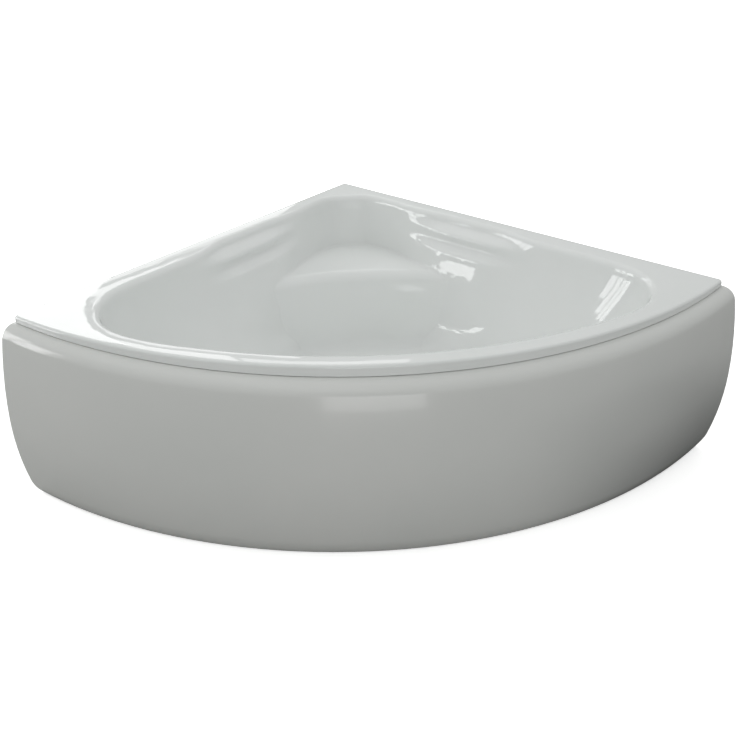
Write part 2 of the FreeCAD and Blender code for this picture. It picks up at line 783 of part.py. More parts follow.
def panel_top_clip(turn):
    """Bent strip from the front rim board down and out under the panel's top flange."""
    board_low = deck_under - front_board_thick
    x = max(abs(rim_radius * math.sin(turn)) - top_clip_width / 2, 0)
    flange_low = rim_height - lip_drop(x) - panel_gap - panel_wall
    flange_in = panel_shoulder_reach(x) - panel_flange
    bend = flange_in - top_clip_side_gap
    far = -shell_wall - front_board_lip_gap - front_board_width
    thick = clip_plate
    toe = flange_in + top_clip_grip
    points = [(far, board_low), (bend, board_low), (bend, flange_low), (toe, flange_low),
              (toe, flange_low - thick), (bend - thick, flange_low - thick),
              (bend - thick, board_low - thick), (far, board_low - thick)]
    wire = Part.makePolygon([V(0, -o, z) for o, z in points + points[:1]])
    clip = Part.Face(wire).extrude(V(top_clip_width, 0, 0))
    clip.translate(V(-top_clip_width / 2, 0, 0))
    clip = clip.cut(screw_hole(V(0, -(far + bend) / 2, board_low - thick - 1), UP, thick + 1))
    clip.translate(V(0, arc_y - rim_radius, 0))
    clip.rotate(V(0, arc_y, 0), UP, math.degrees(turn))
    return clip


def panel_shoulder_reach(x):
    top = rim_height - lip_drop(x) - panel_gap
    rise = (top - panel_shoulder_radius - panel_belly_z) / (panel_upper_radius - panel_shoulder_radius)
    reach = panel_upper_radius - panel_shoulder_radius
    return panel_bulge - panel_upper_radius + reach * math.cos(math.asin(rise))


def top_clip_screw_place(turn):
    board_low = deck_under - front_board_thick
    x = rim_radius * math.sin(turn)
    bend = panel_shoulder_reach(x) - panel_flange - top_clip_side_gap
    far = -shell_wall - front_board_lip_gap - front_board_width
    return front_point(turn, (far + bend) / 2, board_low - clip_plate)


def panel_stay(x):
    """Bent flat bar from the front rail down and out on to the panel's foot flange."""
    face_y = corner_y - rail_front_place - rail_width / 2
    top = base_z - rail_bend_radius
    low = panel_floor_gap + panel_wall
    toe_offset = foot_flange_in() + stay_overlap
    reach = rim_radius + toe_offset
    toe_y = arc_y - math.sqrt(reach ** 2 - (abs(x) - stay_width / 2) ** 2)
    points = [(face_y, top), (face_y - stay_plate, top), (face_y - stay_plate, low + stay_plate),
              (toe_y, low + stay_plate), (toe_y, low), (face_y, low)]
    radii = [0, 0, stay_bend_radius, 0, 0, stay_bend_radius + stay_plate]
    bar = Part.Face(rounded_wire([V(x - stay_width / 2, y, z) for y, z in points], radii))
    bar = bar.extrude(V(stay_width, 0, 0))
    return bar.cut(screw_hole(stay_screw_place(x), V(0, 1, 0)))


def stay_screw_place(x):
    face_y = corner_y - rail_front_place - rail_width / 2
    return V(x, face_y - stay_plate, rail_z + rail_height / 2)


def foot_flange_in():
    """Offset of the foot flange's inner edge from the rim edge."""
    lower_turn = math.asin((panel_belly_z - panel_foot_bend) / panel_lower_radius)
    foot_reach = panel_lower_radius - panel_foot_radius
    centre_offset = panel_bulge - panel_lower_radius + foot_reach * math.cos(lower_turn)
    centre_z = panel_belly_z - foot_reach * math.sin(lower_turn)
    thin = panel_foot_radius - panel_wall
    turn = math.asin((centre_z - panel_floor_gap - panel_wall) / thin)
    return centre_offset + thin * math.cos(turn) - panel_foot_flange


def rail_screw(x, place):
    return screw(V(x, corner_y - place, rail_web_z), UP)


# --- waste and plug ----------------------------------------------------------------------------
def waste_flange():
    """Chromed flange with its threaded tail and the spider that guides the plug's stem."""
    low = floor_z + upper_gasket_thick
    top = low + waste_flange_thick
    bottom = low - tail_length
    outer = waste_flange_diameter / 2
    throat = throat_diameter / 2
    tail = tail_diameter / 2
    profile = [(throat, bottom), (tail, bottom), (tail, low), (outer, low), (outer, low + 1),
               (outer - 2, top), (throat + 1, top), (throat, top - 1)]
    body = turned(profile, V(0, waste_y, 0))
    hub = disc(spider_hub_diameter, spider_height, V(0, waste_y, bottom))
    for angle in (0, 60, 120):
        arm = Part.makeBox(throat_diameter + 2, spider_arm_width, spider_height,
                           V(-throat - 1, waste_y - spider_arm_width / 2, bottom))
        arm.rotate(V(0, waste_y, 0), UP, angle)
        hub = hub.fuse(arm)
    bore = disc(stem_diameter + 2 * fit_clearance, spider_height, V(0, waste_y, bottom))
    return body.fuse(hub).cut(bore).removeSplitter()


def plug_cap():
    edge = plug_diameter / 2
    crown = plug_dome - plug_edge
    radius = (edge ** 2 + crown ** 2) / (2 * crown)
    base = V(0, waste_y, plug_z)
    outline = [V(0, waste_y, plug_z - plug_spigot_height),
               V(plug_spigot_diameter / 2, waste_y, plug_z - plug_spigot_height),
               V(plug_spigot_diameter / 2, waste_y, plug_z), V(edge, waste_y, plug_z),
               V(edge, waste_y, plug_z + plug_edge)]
    half_turn = math.asin(edge / radius) / 2
    middle = V(radius * math.sin(half_turn), waste_y,
               plug_z + plug_dome - radius * (1 - math.cos(half_turn)))
    crown_top = V(0, waste_y, plug_z + plug_dome)
    edges = [Part.makePolygon(outline), Part.Arc(outline[-1], middle, crown_top).toShape(),
             Part.LineSegment(crown_top, outline[0]).toShape()]
    return Part.Face(Part.Wire(edges)).revolve(base, UP, 360)


def plug_seal():
    bore = plug_spigot_diameter + 2 * fit_clearance
    return ring(plug_seal_diameter, bore, plug_seal_thick, V(0, waste_y, plug_z - plug_seal_thick))


def plug_stem():
    top = plug_z - plug_spigot_height
    stem = disc(stem_diameter, stem_length, V(0, waste_y, top - stem_length))
    low = [e for e in stem.Edges if e.Closed and e.CenterOfMass.z < top - stem_length + 1]
    return stem.makeFillet(stem_diameter / 4, low)


def waste_body():
    """Moulded body under the floor, with spigots for the overflow pipe and the control cable."""
    top = under_z - lower_gasket_thick
    outer = waste_body_diameter / 2
    bore = waste_body_bore / 2
    thread = tail_diameter / 2 + fit_clearance
    step = floor_z + upper_gasket_thick - tail_length - 2
    profile = [(bore, waste_low_z), (outer, waste_low_z), (outer, top - waste_collar_thick),
               (waste_collar_diameter / 2, top - waste_collar_thick), (waste_collar_diameter / 2, top),
               (thread, top), (thread, step), (bore, step)]
    body = turned(profile, V(0, waste_y, 0))
    reach = outer + spigot_length
    spigot = disc(spigot_diameter, reach, V(0, waste_y, pipe_z), V(0, -1, 0))
    port = disc(cable_port_diameter, reach, V(cable_offset, waste_y, pipe_z), V(0, -1, 0))
    inside = disc(waste_body_diameter - 1, 2 * spigot_diameter, V(0, waste_y, pipe_z - spigot_diameter))
    body = body.fuse(spigot.fuse(port).cut(inside))
    socket = disc(pipe_diameter + 2 * fit_clearance, pipe_in_spigot,
                  V(0, waste_y - reach + pipe_in_spigot, pipe_z), V(0, -1, 0))
    way = disc(pipe_bore, reach, V(0, waste_y, pipe_z), V(0, -1, 0))
    cable_way = disc(cable_diameter + 2 * fit_clearance, cable_in_port,
                     V(cable_offset, waste_y - reach + cable_in_port, pipe_z), V(0, -1, 0))
    return body.cut(socket).cut(way).cut(cable_way)


# --- trap --------------------------------------------------------------------------------------
def gripped(shape, diameter, base, height, axis=UP):
    """Cut finger grooves round a nut or cap."""
    cutters = []
    for i in range(grip_count):
        angle = 2 * math.pi * i / grip_count
        place = V(math.cos(angle), math.sin(angle), 0) * (diameter / 2)
        groove = disc(2 * grip_radius, height, place)
        cutters.append(tilt_to(groove, base, axis))
    return shape.cut(Part.makeCompound(cutters))


def trap_nut():
    low = trap_top_z - trap_collar_thick - trap_nut_lip
    thread = waste_body_diameter / 2 + fit_clearance
    neck = trap_neck_diameter / 2 + fit_clearance
    outer = trap_nut_diameter / 2
    profile = [(neck, low), (outer, low), (outer, low + trap_nut_height), (thread, low + trap_nut_height),
               (thread, low + trap_nut_lip), (neck, low + trap_nut_lip)]
    nut = turned(profile, V(0, waste_y, 0))
    return gripped(nut, trap_nut_diameter, V(0, waste_y, low), trap_nut_height)


def trap_washer():
    return ring(waste_body_diameter - 1, waste_body_bore, trap_washer_thick, V(0, waste_y, trap_top_z))


def trap_body():
    """Shallow bottle trap: dip tube inside the bowl, outlet to one side, cleaning port to the other."""
    bowl_radius = trap_bowl_diameter / 2
    dip = dip_tube_diameter / 2
    low = trap_floor_gap
    high = trap_bowl_top
    collar_low = trap_top_z - trap_collar_thick
    collar = waste_body_diameter / 2 - 1
    neck = trap_neck_diameter / 2
    inner = bowl_radius - trap_wall
    dip_inner = dip - trap_wall
    dip_end = low + trap_wall + dip_tube_end_gap
    profile = [(0, low), (bowl_radius - 6, low), (bowl_radius, low + 6), (bowl_radius, high - 4),
               (bowl_radius - 4, high), (neck, high), (neck, collar_low), (collar, collar_low),
               (collar, trap_top_z), (dip_inner, trap_top_z), (dip_inner, dip_end), (dip, dip_end),
               (dip, high - trap_wall), (inner - 2, high - trap_wall), (inner, high - trap_wall - 2),
               (inner, low + trap_wall + 2), (inner - 2, low + trap_wall), (0, low + trap_wall)]
    body = turned(profile, V(0, waste_y, 0))
    side = V(1, 0, 0)
    socket = outlet_pipe_diameter + 2 * outlet_socket_clearance
    pipe = disc(socket + 2 * outlet_wall, outlet_reach, V(0, waste_y, outlet_z), side)
    port = disc(trap_port_diameter, bowl_radius + trap_port_length, V(0, waste_y, outlet_z), V(-1, 0, 0))
    core = disc(trap_bowl_diameter - 2 * trap_wall + 1, trap_bowl_height + 20, V(0, waste_y, low - 10))
    body = body.fuse(pipe.fuse(port).cut(core))
    start = V(outlet_reach - outlet_socket_depth, waste_y, outlet_z)
    body = body.cut(disc(socket, outlet_socket_depth, start, side))
    mouth = dip + 6
    way = disc(outlet_pipe_diameter - 4, outlet_reach - outlet_socket_depth / 2 - mouth,
               V(mouth, waste_y, outlet_z), side)
    port_way = disc(trap_port_diameter - 2 * trap_wall, bowl_radius + trap_port_length,
                    V(-mouth, waste_y, outlet_z), V(-1, 0, 0))
    return body.cut(way).cut(port_way)


def trap_cleaning_cap():
    bowl_radius = trap_bowl_diameter / 2
    axis = V(-1, 0, 0)
    start = V(-bowl_radius - 1, waste_y, outlet_z)
    outer = disc(trap_cap_diameter, trap_cap_length, start, axis)
    room = disc(trap_port_diameter + 2 * fit_clearance, trap_port_length - 1, start, axis)
    cap = outer.cut(room).cut(disc(trap_bowl_diameter + 1, 200, V(0, waste_y, 0)))
    return gripped(cap, trap_cap_diameter, start, trap_cap_length, axis)


def outlet_nut():
    socket = outlet_pipe_diameter + 2 * outlet_socket_clearance
    axis = V(1, 0, 0)
    start = V(outlet_reach + outlet_nut_lip - outlet_nut_length, waste_y, outlet_z)
    bore = socket + 2 * outlet_wall + 2 * fit_clearance
    nut = ring(outlet_nut_diameter, socket, outlet_nut_length, start, axis)
    nut = nut.cut(disc(bore, outlet_nut_length - outlet_nut_lip, start, axis))
    return gripped(nut, outlet_nut_diameter, start, outlet_nut_length, axis)


# --- overflow ----------------------------------------------------------------------------------
def overflow_back():
    """Centre of the overflow body, behind the bowl's front wall."""
    place, inward = overflow_seat()
    depth = shell_wall + overflow_gasket_thick + overflow_body_depth / 2
    return place - inward * depth


def overflow_face_plate():
    place, inward = overflow_seat()
    plate = disc(overflow_plate_diameter, overflow_plate_thick, V(0, 0, 0))
    rim = [e for e in plate.Edges if e.Closed and e.CenterOfMass.z > overflow_plate_thick - 0.1]
    plate = plate.makeFillet(overflow_plate_thick * 0.4, rim)
    tail_bore = overflow_tail_diameter - 2 * overflow_tail_wall
    tail = ring(overflow_tail_diameter, tail_bore, overflow_tail_length, V(0, 0, -overflow_tail_length))
    plate = plate.fuse(tail)
    for i in range(overflow_slot_count):
        angle = 2 * math.pi * i / overflow_slot_count
        radius = overflow_slot_circle / 2
        plate = plate.cut(disc(overflow_slot_diameter, 2 * overflow_plate_thick,
                               V(radius * math.cos(angle), radius * math.sin(angle), -1)))
    plate = plate.cut(disc(knob_shaft_diameter + 2 * fit_clearance, 2 * overflow_plate_thick, V(0, 0, -1)))
    return tilt_to(plate, place, inward)


def overflow_knob():
    """Turning knob with finger grooves and its shaft."""
    place, inward = overflow_seat()
    low = overflow_plate_thick + knob_gap
    knob = disc(knob_diameter, knob_height, V(0, 0, low))
    top = [e for e in knob.Edges if e.Closed and e.CenterOfMass.z > low + knob_height - 0.1]
    knob = knob.makeFillet(knob_edge_radius, top)
    knob = gripped(knob, knob_diameter, V(0, 0, low), knob_height)
    knob = knob.fuse(disc(knob_shaft_diameter, knob_shaft_length, V(0, 0, low - knob_shaft_length)))
    return tilt_to(knob, place, inward)


def overflow_gasket():
    place, inward = overflow_seat()
    gasket = ring(overflow_gasket_diameter, overflow_hole, overflow_gasket_thick,
                  V(0, 0, -shell_wall - overflow_gasket_thick))
    return tilt_to(gasket, place, inward)


def overflow_body():
    """Round box behind the wall, with a spigot down to the pipe and a port for the cable."""
    place, inward = overflow_seat()
    top = -shell_wall - overflow_gasket_thick
    low = top - overflow_body_depth
    body = disc(overflow_body_diameter, overflow_body_depth, V(0, 0, low))
    body = tilt_to(body, place, inward)
    back = overflow_back()
    end_z = overflow_pipe_top()
    height = back.z - end_z
    spigot = disc(spigot_diameter, height, V(0, back.y, end_z))
    port = disc(cable_port_diameter, height, V(cable_offset, back.y, end_z))
    body = body.fuse(spigot).fuse(port)
    room_depth = overflow_body_depth - 2 * overflow_back_wall
    room_diameter = overflow_body_diameter - 2 * overflow_back_wall
    room = disc(room_diameter, room_depth, V(0, 0, low + overflow_back_wall))
    mouth = disc(overflow_tail_diameter + 2 * fit_clearance, 10, V(0, 0, top - 6))
    body = body.cut(tilt_to(room, place, inward)).cut(tilt_to(mouth, place, inward))
    way = disc(pipe_bore, height, V(0, back.y, end_z))
    socket = disc(pipe_diameter + 2 * fit_clearance, pipe_in_spigot, V(0, back.y, end_z))
    cable_way = disc(cable_diameter + 2 * fit_clearance, cable_in_port, V(cable_offset, back.y, end_z))
    return body.cut(way).cut(socket).cut(cable_way)


def overflow_pipe_top():
    """Height of the spigot's end under the overflow body."""
    return overflow_back().z - overflow_body_diameter / 2 - spigot_length


def bent_tube(x, diameter, in_top, in_low, bend):
    """Tube down from the overflow body, round one large bend and back to the waste body."""
    y = overflow_back().y
    top = V(x, y, overflow_pipe_top() + in_top)
    end = V(x, waste_y - waste_body_diameter / 2 - spigot_length + in_low, pipe_z)
    corner = V(x, y, pipe_z)
    first = corner + V(0, 0, bend)
    last = corner + V(0, bend, 0)
    centre = corner + V(0, bend, bend)
    middle = centre - V(0, bend * S45, bend * S45)
    path = Part.Wire([Part.LineSegment(top, first).toShape(), Part.Arc(first, middle, last).toShape(),
                      Part.LineSegment(last, end).toShape()])
    circle = Part.Wire(Part.makeCircle(diameter / 2, top, V(0, 0, -1)))
    return path.makePipeShell([circle], True, True)


def overflow_pipe():
    outer = bent_tube(0, pipe_diameter, pipe_in_spigot, pipe_in_spigot, pipe_bend_radius)
    return outer.cut(bent_tube(0, pipe_bore, pipe_in_spigot + 1, pipe_in_spigot + 1, pipe_bend_radius))


def control_cable():
    return bent_tube(cable_offset, cable_diameter, cable_in_port, cable_in_port, pipe_bend_radius)


def pipe_nuts():
    """The compression nuts at both ends of the pipe, pulled up over the spigots."""
    bore = pipe_diameter + 2 * fit_clearance
    wide = spigot_diameter + 2 * fit_clearance
    nuts = []
    upper = V(0, overflow_back().y, overflow_pipe_top())
    lower = V(0, waste_y - waste_body_diameter / 2 - spigot_length, pipe_z)
    for end, axis in ((upper, V(0, 0, -1)), (lower, V(0, -1, 0))):
        start = end - axis * (pipe_nut_height - 4)
        nut = ring(pipe_nut_diameter, bore, pipe_nut_height, start, axis)
        nut = nut.cut(disc(wide, pipe_nut_height - 4, start, axis))
        nuts.append(gripped(nut, pipe_nut_diameter + 1.5, start, pipe_nut_height, axis))
    return nuts


def main():
    os.makedirs("parts", exist_ok=True)
    save("tub_shell", tub_shell())
    save("front_panel", front_panel())
    save("rim_batten_right", rim_batten())
    save("rim_batten_left", mirrored(rim_batten()))
    save("front_rim_board", front_rim_board())
    save("base_board", base_board())
    save("rail_front", rail_front())
    save("rail_back", rail(rail_back_place, rail_back_half))
    rails = ((rail_front_place, rail_front_half), (rail_back_place, rail_back_half))
    save("rail_screws", *[rail_screw(x, place) for place, half in rails for x in rail_screw_places(half)])
    save("rail_nuts", *[rail_nut(x, y) for x, y in foot_places()])
    save("lock_nuts", *[lock_nut(x, y) for x, y in foot_places()])
    for number, (x, y) in enumerate(foot_places(), 1):
        save("foot_stud_%d" % number, foot_stud(x, y))
        save("foot_pad_%d" % number, foot_pad(x, y))
    left = [hanger_clip(along) for along in hanger_places]
    save("wall_hanger_clips", *(left + [mirrored(clip) for clip in left]))
    save("panel_top_clips", *[panel_top_clip(turn) for turn in top_clip_turns()])
    save("panel_clip_screws", *[screw(top_clip_screw_place(turn), UP) for turn in top_clip_turns()])
    save("panel_stays", *[panel_stay(x) for x in stay_places])
    inward = V(0, 1, 0)
    save("panel_stay_screws", *[screw(stay_screw_place(x), inward, stay_screw_length) for x in stay_places])
    save("waste_gasket_upper", ring(waste_flange_diameter - 4, waste_hole - 4, upper_gasket_thick,
                                    V(0, waste_y, floor_z)))
    save("waste_gasket_lower", ring(waste_collar_diameter - 2, waste_hole + 2, lower_gasket_thick,
                                    V(0, waste_y, under_z - lower_gasket_thick)))
    save("waste_flange", waste_flange())
    save("waste_body", waste_body())
    save("plug_cap", plug_cap())
    save("plug_seal", plug_seal())
    save("plug_stem", plug_stem())
    save("trap_nut", trap_nut())
    save("trap_washer", trap_washer())
    save("trap_body", trap_body())
    save("trap_cleaning_cap", trap_cleaning_cap())
    save("trap_outlet_nut", outlet_nut())
    save("overflow_face_plate", overflow_face_plate())
    save("overflow_knob", overflow_knob())
    save("overflow_gasket", overflow_gasket())
    save("overflow_body", overflow_body())
    save("overflow_pipe", overflow_pipe())
    save("pipe_nuts", *pipe_nuts())
    save("control_cable", control_cable())


main()
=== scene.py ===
import bpy
import math
from mathutils import Matrix, Vector


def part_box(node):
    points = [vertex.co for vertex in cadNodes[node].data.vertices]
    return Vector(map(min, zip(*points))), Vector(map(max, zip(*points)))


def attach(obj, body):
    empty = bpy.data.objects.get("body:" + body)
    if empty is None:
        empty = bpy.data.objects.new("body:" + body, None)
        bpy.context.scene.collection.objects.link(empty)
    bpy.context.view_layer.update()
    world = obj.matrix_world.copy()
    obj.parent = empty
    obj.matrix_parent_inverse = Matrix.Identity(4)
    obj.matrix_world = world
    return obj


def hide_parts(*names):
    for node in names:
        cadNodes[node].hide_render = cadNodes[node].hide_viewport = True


# Corner bathtub. Metres; the walls meet at +Y and the bowed panel faces -Y.
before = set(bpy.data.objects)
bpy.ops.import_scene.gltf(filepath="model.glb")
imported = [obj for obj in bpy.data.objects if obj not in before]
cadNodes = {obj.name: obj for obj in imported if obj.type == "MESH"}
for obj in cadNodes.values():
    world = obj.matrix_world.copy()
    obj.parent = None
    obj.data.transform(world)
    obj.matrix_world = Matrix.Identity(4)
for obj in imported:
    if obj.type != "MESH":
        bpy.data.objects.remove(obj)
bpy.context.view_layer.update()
bpy.ops.object.select_all(action="DESELECT")
print("frame loaded:", len(cadNodes), "nodes")

# corners closer together than this are one corner
mergeGap = 0.00001
footCount = 4


def takeOnly(obj):
    bpy.ops.object.select_all(action="DESELECT")
    obj.select_set(True)
    bpy.context.view_layer.objects.active = obj


def clearSelection(obj, kind):
    takeOnly(obj)
    bpy.ops.object.mode_set(mode="EDIT")
    bpy.ops.mesh.select_mode(type=kind)
    bpy.ops.mesh.select_all(action="DESELECT")
    bpy.ops.object.mode_set(mode="OBJECT")


def selectFaces(obj, wanted):
    # leaves edit mode off, with just the wanted faces selected
    clearSelection(obj, "FACE")
    count = 0
    for face in obj.data.polygons:
        if wanted(face.center, face.normal):
            face.select = True
            count += 1
    return count


def selectEdges(obj, wanted):
    clearSelection(obj, "EDGE")
    points = obj.data.vertices
    for edge in obj.data.edges:
        first, last = (points[i].co for i in edge.vertices)
        if wanted(first, last):
            edge.select = True


def applyPlace(obj):
    takeOnly(obj)
    bpy.ops.object.transform_apply(location=True, rotation=True, scale=True)


def applyModifiers(obj):
    takeOnly(obj)
    for name in [m.name for m in obj.modifiers]:
        bpy.ops.object.modifier_apply(modifier=name)


def smooth(obj, degrees):
    takeOnly(obj)
    bpy.ops.object.shade_smooth_by_angle(angle=math.radians(degrees))


def paint(obj, *materials):
    obj.data.materials.clear()
    for material in materials:
        obj.data.materials.append(material)


def addToScene(name, data):
    obj = bpy.data.objects.new(name, data)
    bpy.context.scene.collection.objects.link(obj)
    return obj


def copyOfNode(nodeName, pieceName):
    # a copy of a CAD node's mesh with its seams merged
    piece = addToScene(pieceName, cadNodes[nodeName].data.copy())
    takeOnly(piece)
    bpy.ops.mesh.customdata_custom_splitnormals_clear()
    bpy.ops.object.mode_set(mode="EDIT")
    bpy.ops.mesh.select_all(action="SELECT")
    bpy.ops.mesh.remove_doubles(threshold=mergeGap)
    bpy.ops.object.mode_set(mode="OBJECT")
    return piece


def copyOfPiece(piece, name):
    twin = piece.copy()
    twin.data = piece.data.copy()
    twin.name = name
    bpy.context.scene.collection.objects.link(twin)
    return twin


def link(tree, source, target):
    tree.links.new(source, target)


def feed(tree, value, socket):
    # a socket takes either another node's output or a plain value
    if hasattr(value, "is_linked"):
        link(tree, value, socket)
    else:
        socket.default_value = value


def newGroup(name, inputs, outputs):
    group = bpy.data.node_groups.new(name, "ShaderNodeTree")
    for label, kind, value in inputs:
        socket = group.interface.new_socket(name=label, in_out="INPUT", socket_type=kind)
        socket.default_value = value
    for label, kind in outputs:
        group.interface.new_socket(name=label, in_out="OUTPUT", socket_type=kind)
    return group, group.nodes.new("NodeGroupInput"), group.nodes.new("NodeGroupOutput")


def addNoise(tree, vector, scale, detail=3.0, rough=0.5):
    noise = tree.nodes.new("ShaderNodeTexNoise")
    noise.inputs["Detail"].default_value = detail
    noise.inputs["Roughness"].default_value = rough
    link(tree, vector, noise.inputs["Vector"])
    feed(tree, scale, noise.inputs["Scale"])
    return noise.outputs["Fac"]


def addCells(tree, vector, scale):
    cells = tree.nodes.new("ShaderNodeTexVoronoi")
    cells.inputs["Scale"].default_value = scale
    link(tree, vector, cells.inputs["Vector"])
    return cells


def addTones(tree, colour):
    # the three channels of a cell's colour, as three separate random numbers
    tones = tree.nodes.new("ShaderNodeSeparateColor")
    link(tree, colour, tones.inputs["Color"])
    return tones.outputs


def addMath(tree, operation, first, second):
    node = tree.nodes.new("ShaderNodeMath")
    node.operation = operation
    for socket, value in zip(node.inputs, (first, second)):
        feed(tree, value, socket)
    return node.outputs["Value"]


def addRange(tree, value, low, high, newLow=0.0, newHigh=1.0):
    node = tree.nodes.new("ShaderNodeMapRange")
    node.inputs["From Min"].default_value = low
    node.inputs["From Max"].default_value = high
    node.inputs["To Min"].default_value = newLow
    node.inputs["To Max"].default_value = newHigh
    link(tree, value, node.inputs["Value"])
    return node.outputs["Result"]


def addMapping(tree, vector, scale=(1, 1, 1), turn=(0, 0, 0), place=(0, 0, 0)):
    node = tree.nodes.new("ShaderNodeMapping")
    node.inputs["Scale"].default_value = scale
    node.inputs["Rotation"].default_value = [math.radians(a) for a in turn]
    node.inputs["Location"].default_value = place
    link(tree, vector, node.inputs["Vector"])
    return node.outputs["Vector"]


def addHeight(tree, vector):
    # the upright part of a direction
    parts = tree.nodes.new("ShaderNodeSeparateXYZ")
    link(tree, vector, parts.inputs["Vector"])
    return parts.outputs["Z"]


def addLength(tree, vector):
    node = tree.nodes.new("ShaderNodeVectorMath")
    node.operation = "LENGTH"
    link(tree, vector, node.inputs[0])
    return node.outputs["Value"]


# a Mix node's sockets share their names, so its two values and its result go by number
mixColour = {"kind": "RGBA", "first": 6, "second": 7, "result": 2}
mixNumber = {"kind": "FLOAT", "first": 2, "second": 3, "result": 0}


def addMix(tree, share, first, second, sockets=mixColour):
    node = tree.nodes.new("ShaderNodeMix")
    node.data_type = sockets["kind"]
    link(tree, share, node.inputs["Factor"])
    for end, value in (("first", first), ("second", second)):
        if isinstance(value, tuple):
            # a plain colour is opaque
            value = (*value, 1)
        feed(tree, value, node.inputs[sockets[end]])
    return node.outputs[sockets["result"]]


def useGroup(tree, group, vector, **values):
    node = tree.nodes.new("ShaderNodeGroup")
    node.node_tree = group
    link(tree, vector, node.inputs["Vector"])
    for label, value in values.items():
        node.inputs[label].default_value = value
    return node


def makeSheetWaves():
    # long shallow unevenness of a vacuum-formed sheet, and the fine skin over it
    group, given, made = newGroup("sheetWaves", [("Vector", "NodeSocketVector", (0, 0, 0)),
                                                 ("Long", "NodeSocketFloat", 6.0),
                                                 ("Fine", "NodeSocketFloat", 90.0),
                                                 ("FineShare", "NodeSocketFloat", 0.05)],
                                  [("Height", "NodeSocketFloat")])
    longWave = addNoise(group, given.outputs["Vector"], given.outputs["Long"], detail=1.0)
    fineWave = addNoise(group, given.outputs["Vector"], given.outputs["Fine"], detail=2.0)
    fine = addMath(group, "MULTIPLY", fineWave, given.outputs["FineShare"])
    link(group, addMath(group, "ADD", longWave, fine), made.inputs["Height"])
    return group


wipeShape = {"streakStretch": (1, 9, 3), "streakTurn": (0, 0, 35), "patchShare": 0.35,
             "speckScale": 240, "speckEdge": 0.09, "speckCore": 0.03}


def makeWipeMarks(spec):
    # where a hand or a cloth has dulled a shiny face: streaks, patches and specks
    group, given, made = newGroup("wipeMarks", [("Vector", "NodeSocketVector", (0, 0, 0)),
                                                ("Scale", "NodeSocketFloat", 5.0)],
                                  [("Mask", "NodeSocketFloat"), ("Specks", "NodeSocketFloat")])
    clouds = addNoise(group, given.outputs["Vector"], given.outputs["Scale"], detail=4.0, rough=0.6)
    patches = addRange(group, clouds, low=0.42, high=0.7)
    streakWay = addMapping(group, given.outputs["Vector"], spec["streakStretch"], spec["streakTurn"])
    wisps = addNoise(group, streakWay, given.outputs["Scale"], detail=5.0, rough=0.7)
    streaks = addRange(group, wisps, low=0.4, high=0.75)
    streaked = addMath(group, "MULTIPLY", patches, streaks)
    plain = addMath(group, "MULTIPLY", patches, spec["patchShare"])
    link(group, addMath(group, "ADD", streaked, plain), made.inputs["Mask"])
    dots = addCells(group, given.outputs["Vector"], spec["speckScale"])
    specks = addRange(group, dots.outputs["Distance"], low=spec["speckEdge"], high=spec["speckCore"])
    link(group, addMath(group, "MULTIPLY", specks, patches), made.inputs["Specks"])
    return group


def makeSettledDust():
    # dust on faces that look up, thicker in patches
    group, given, made = newGroup("settledDust", [("Vector", "NodeSocketVector", (0, 0, 0)),
                                                  ("Amount", "NodeSocketFloat", 0.5)],
                                  [("Mask", "NodeSocketFloat")])
    shape = group.nodes.new("ShaderNodeNewGeometry")
    upward = addRange(group, addHeight(group, shape.outputs["Normal"]), low=0.3, high=0.95)
    clouds = addNoise(group, given.outputs["Vector"], scale=35.0, detail=6.0, rough=0.65)
    patches = addRange(group, clouds, low=0.3, high=0.75)
    share = addMath(group, "MULTIPLY", upward, patches)
    link(group, addMath(group, "MULTIPLY", share, given.outputs["Amount"]), made.inputs["Mask"])
    return group


strandShape = {"axis": (0.35, 0.25, 1.0), "stretch": (1, 16, 16)}


def makeStrands(spec):
    # short straight strands lying one way; a few of these at different turns make a chopped mat
    group, given, made = newGroup("strands", [("Vector", "NodeSocketVector", (0, 0, 0)),
                                              ("Turn", "NodeSocketFloat", 0.0),
                                              ("Scale", "NodeSocketFloat", 26.0)],
                                  [("Mask", "NodeSocketFloat")])
    turned = group.nodes.new("ShaderNodeVectorRotate")
    turned.rotation_type = "AXIS_ANGLE"
    turned.inputs["Axis"].default_value = spec["axis"]
    link(group, given.outputs["Vector"], turned.inputs["Vector"])
    link(group, given.outputs["Turn"], turned.inputs["Angle"])
    drawnOut = addMapping(group, turned.outputs["Vector"], spec["stretch"])
    wisps = addNoise(group, drawnOut, given.outputs["Scale"], detail=2.0, rough=0.55)
    link(group, addRange(group, wisps, low=0.52, high=0.66), made.inputs["Mask"])
    return group


sheetWaves = makeSheetWaves()
wipeMarks = makeWipeMarks(wipeShape)
settledDust = makeSettledDust()
strands = makeStrands(strandShape)
print("shader groups made")


def newFinish(name):
    material = bpy.data.materials.new(name)
    material.use_nodes = True
    tree = material.node_tree
    shader = tree.nodes["Principled BSDF"]
    place = tree.nodes.new("ShaderNodeTexCoord").outputs["Object"]
    return material, tree, shader, place


def setBump(tree, shader, height, strength, distance):
    bump = tree.nodes.new("ShaderNodeBump")
    bump.inputs["Strength"].default_value = strength
    bump.inputs["Distance"].default_value = distance
    link(tree, height, bump.inputs["Height"])
    link(tree, bump.outputs["Normal"], shader.inputs["Normal"])


def setDustyColour(tree, shader, place, body, dustTone, amount):
    dust = useGroup(tree, settledDust, place, Amount=amount).outputs["Mask"]
    link(tree, addMix(tree, dust, body, dustTone), shader.inputs["Base Color"])
    return dust


def setWornGloss(tree, shader, marks, dulling, rough):
    dulled = addMath(tree, "MULTIPLY", marks.outputs["Mask"], dulling)
    link(tree, addMath(tree, "ADD", dulled, rough), shader.inputs["Roughness"])


acrylicSkin = {"refraction": 1.49, "coat": 0.35, "coatRough": 0.03, "dulling": 0.05}


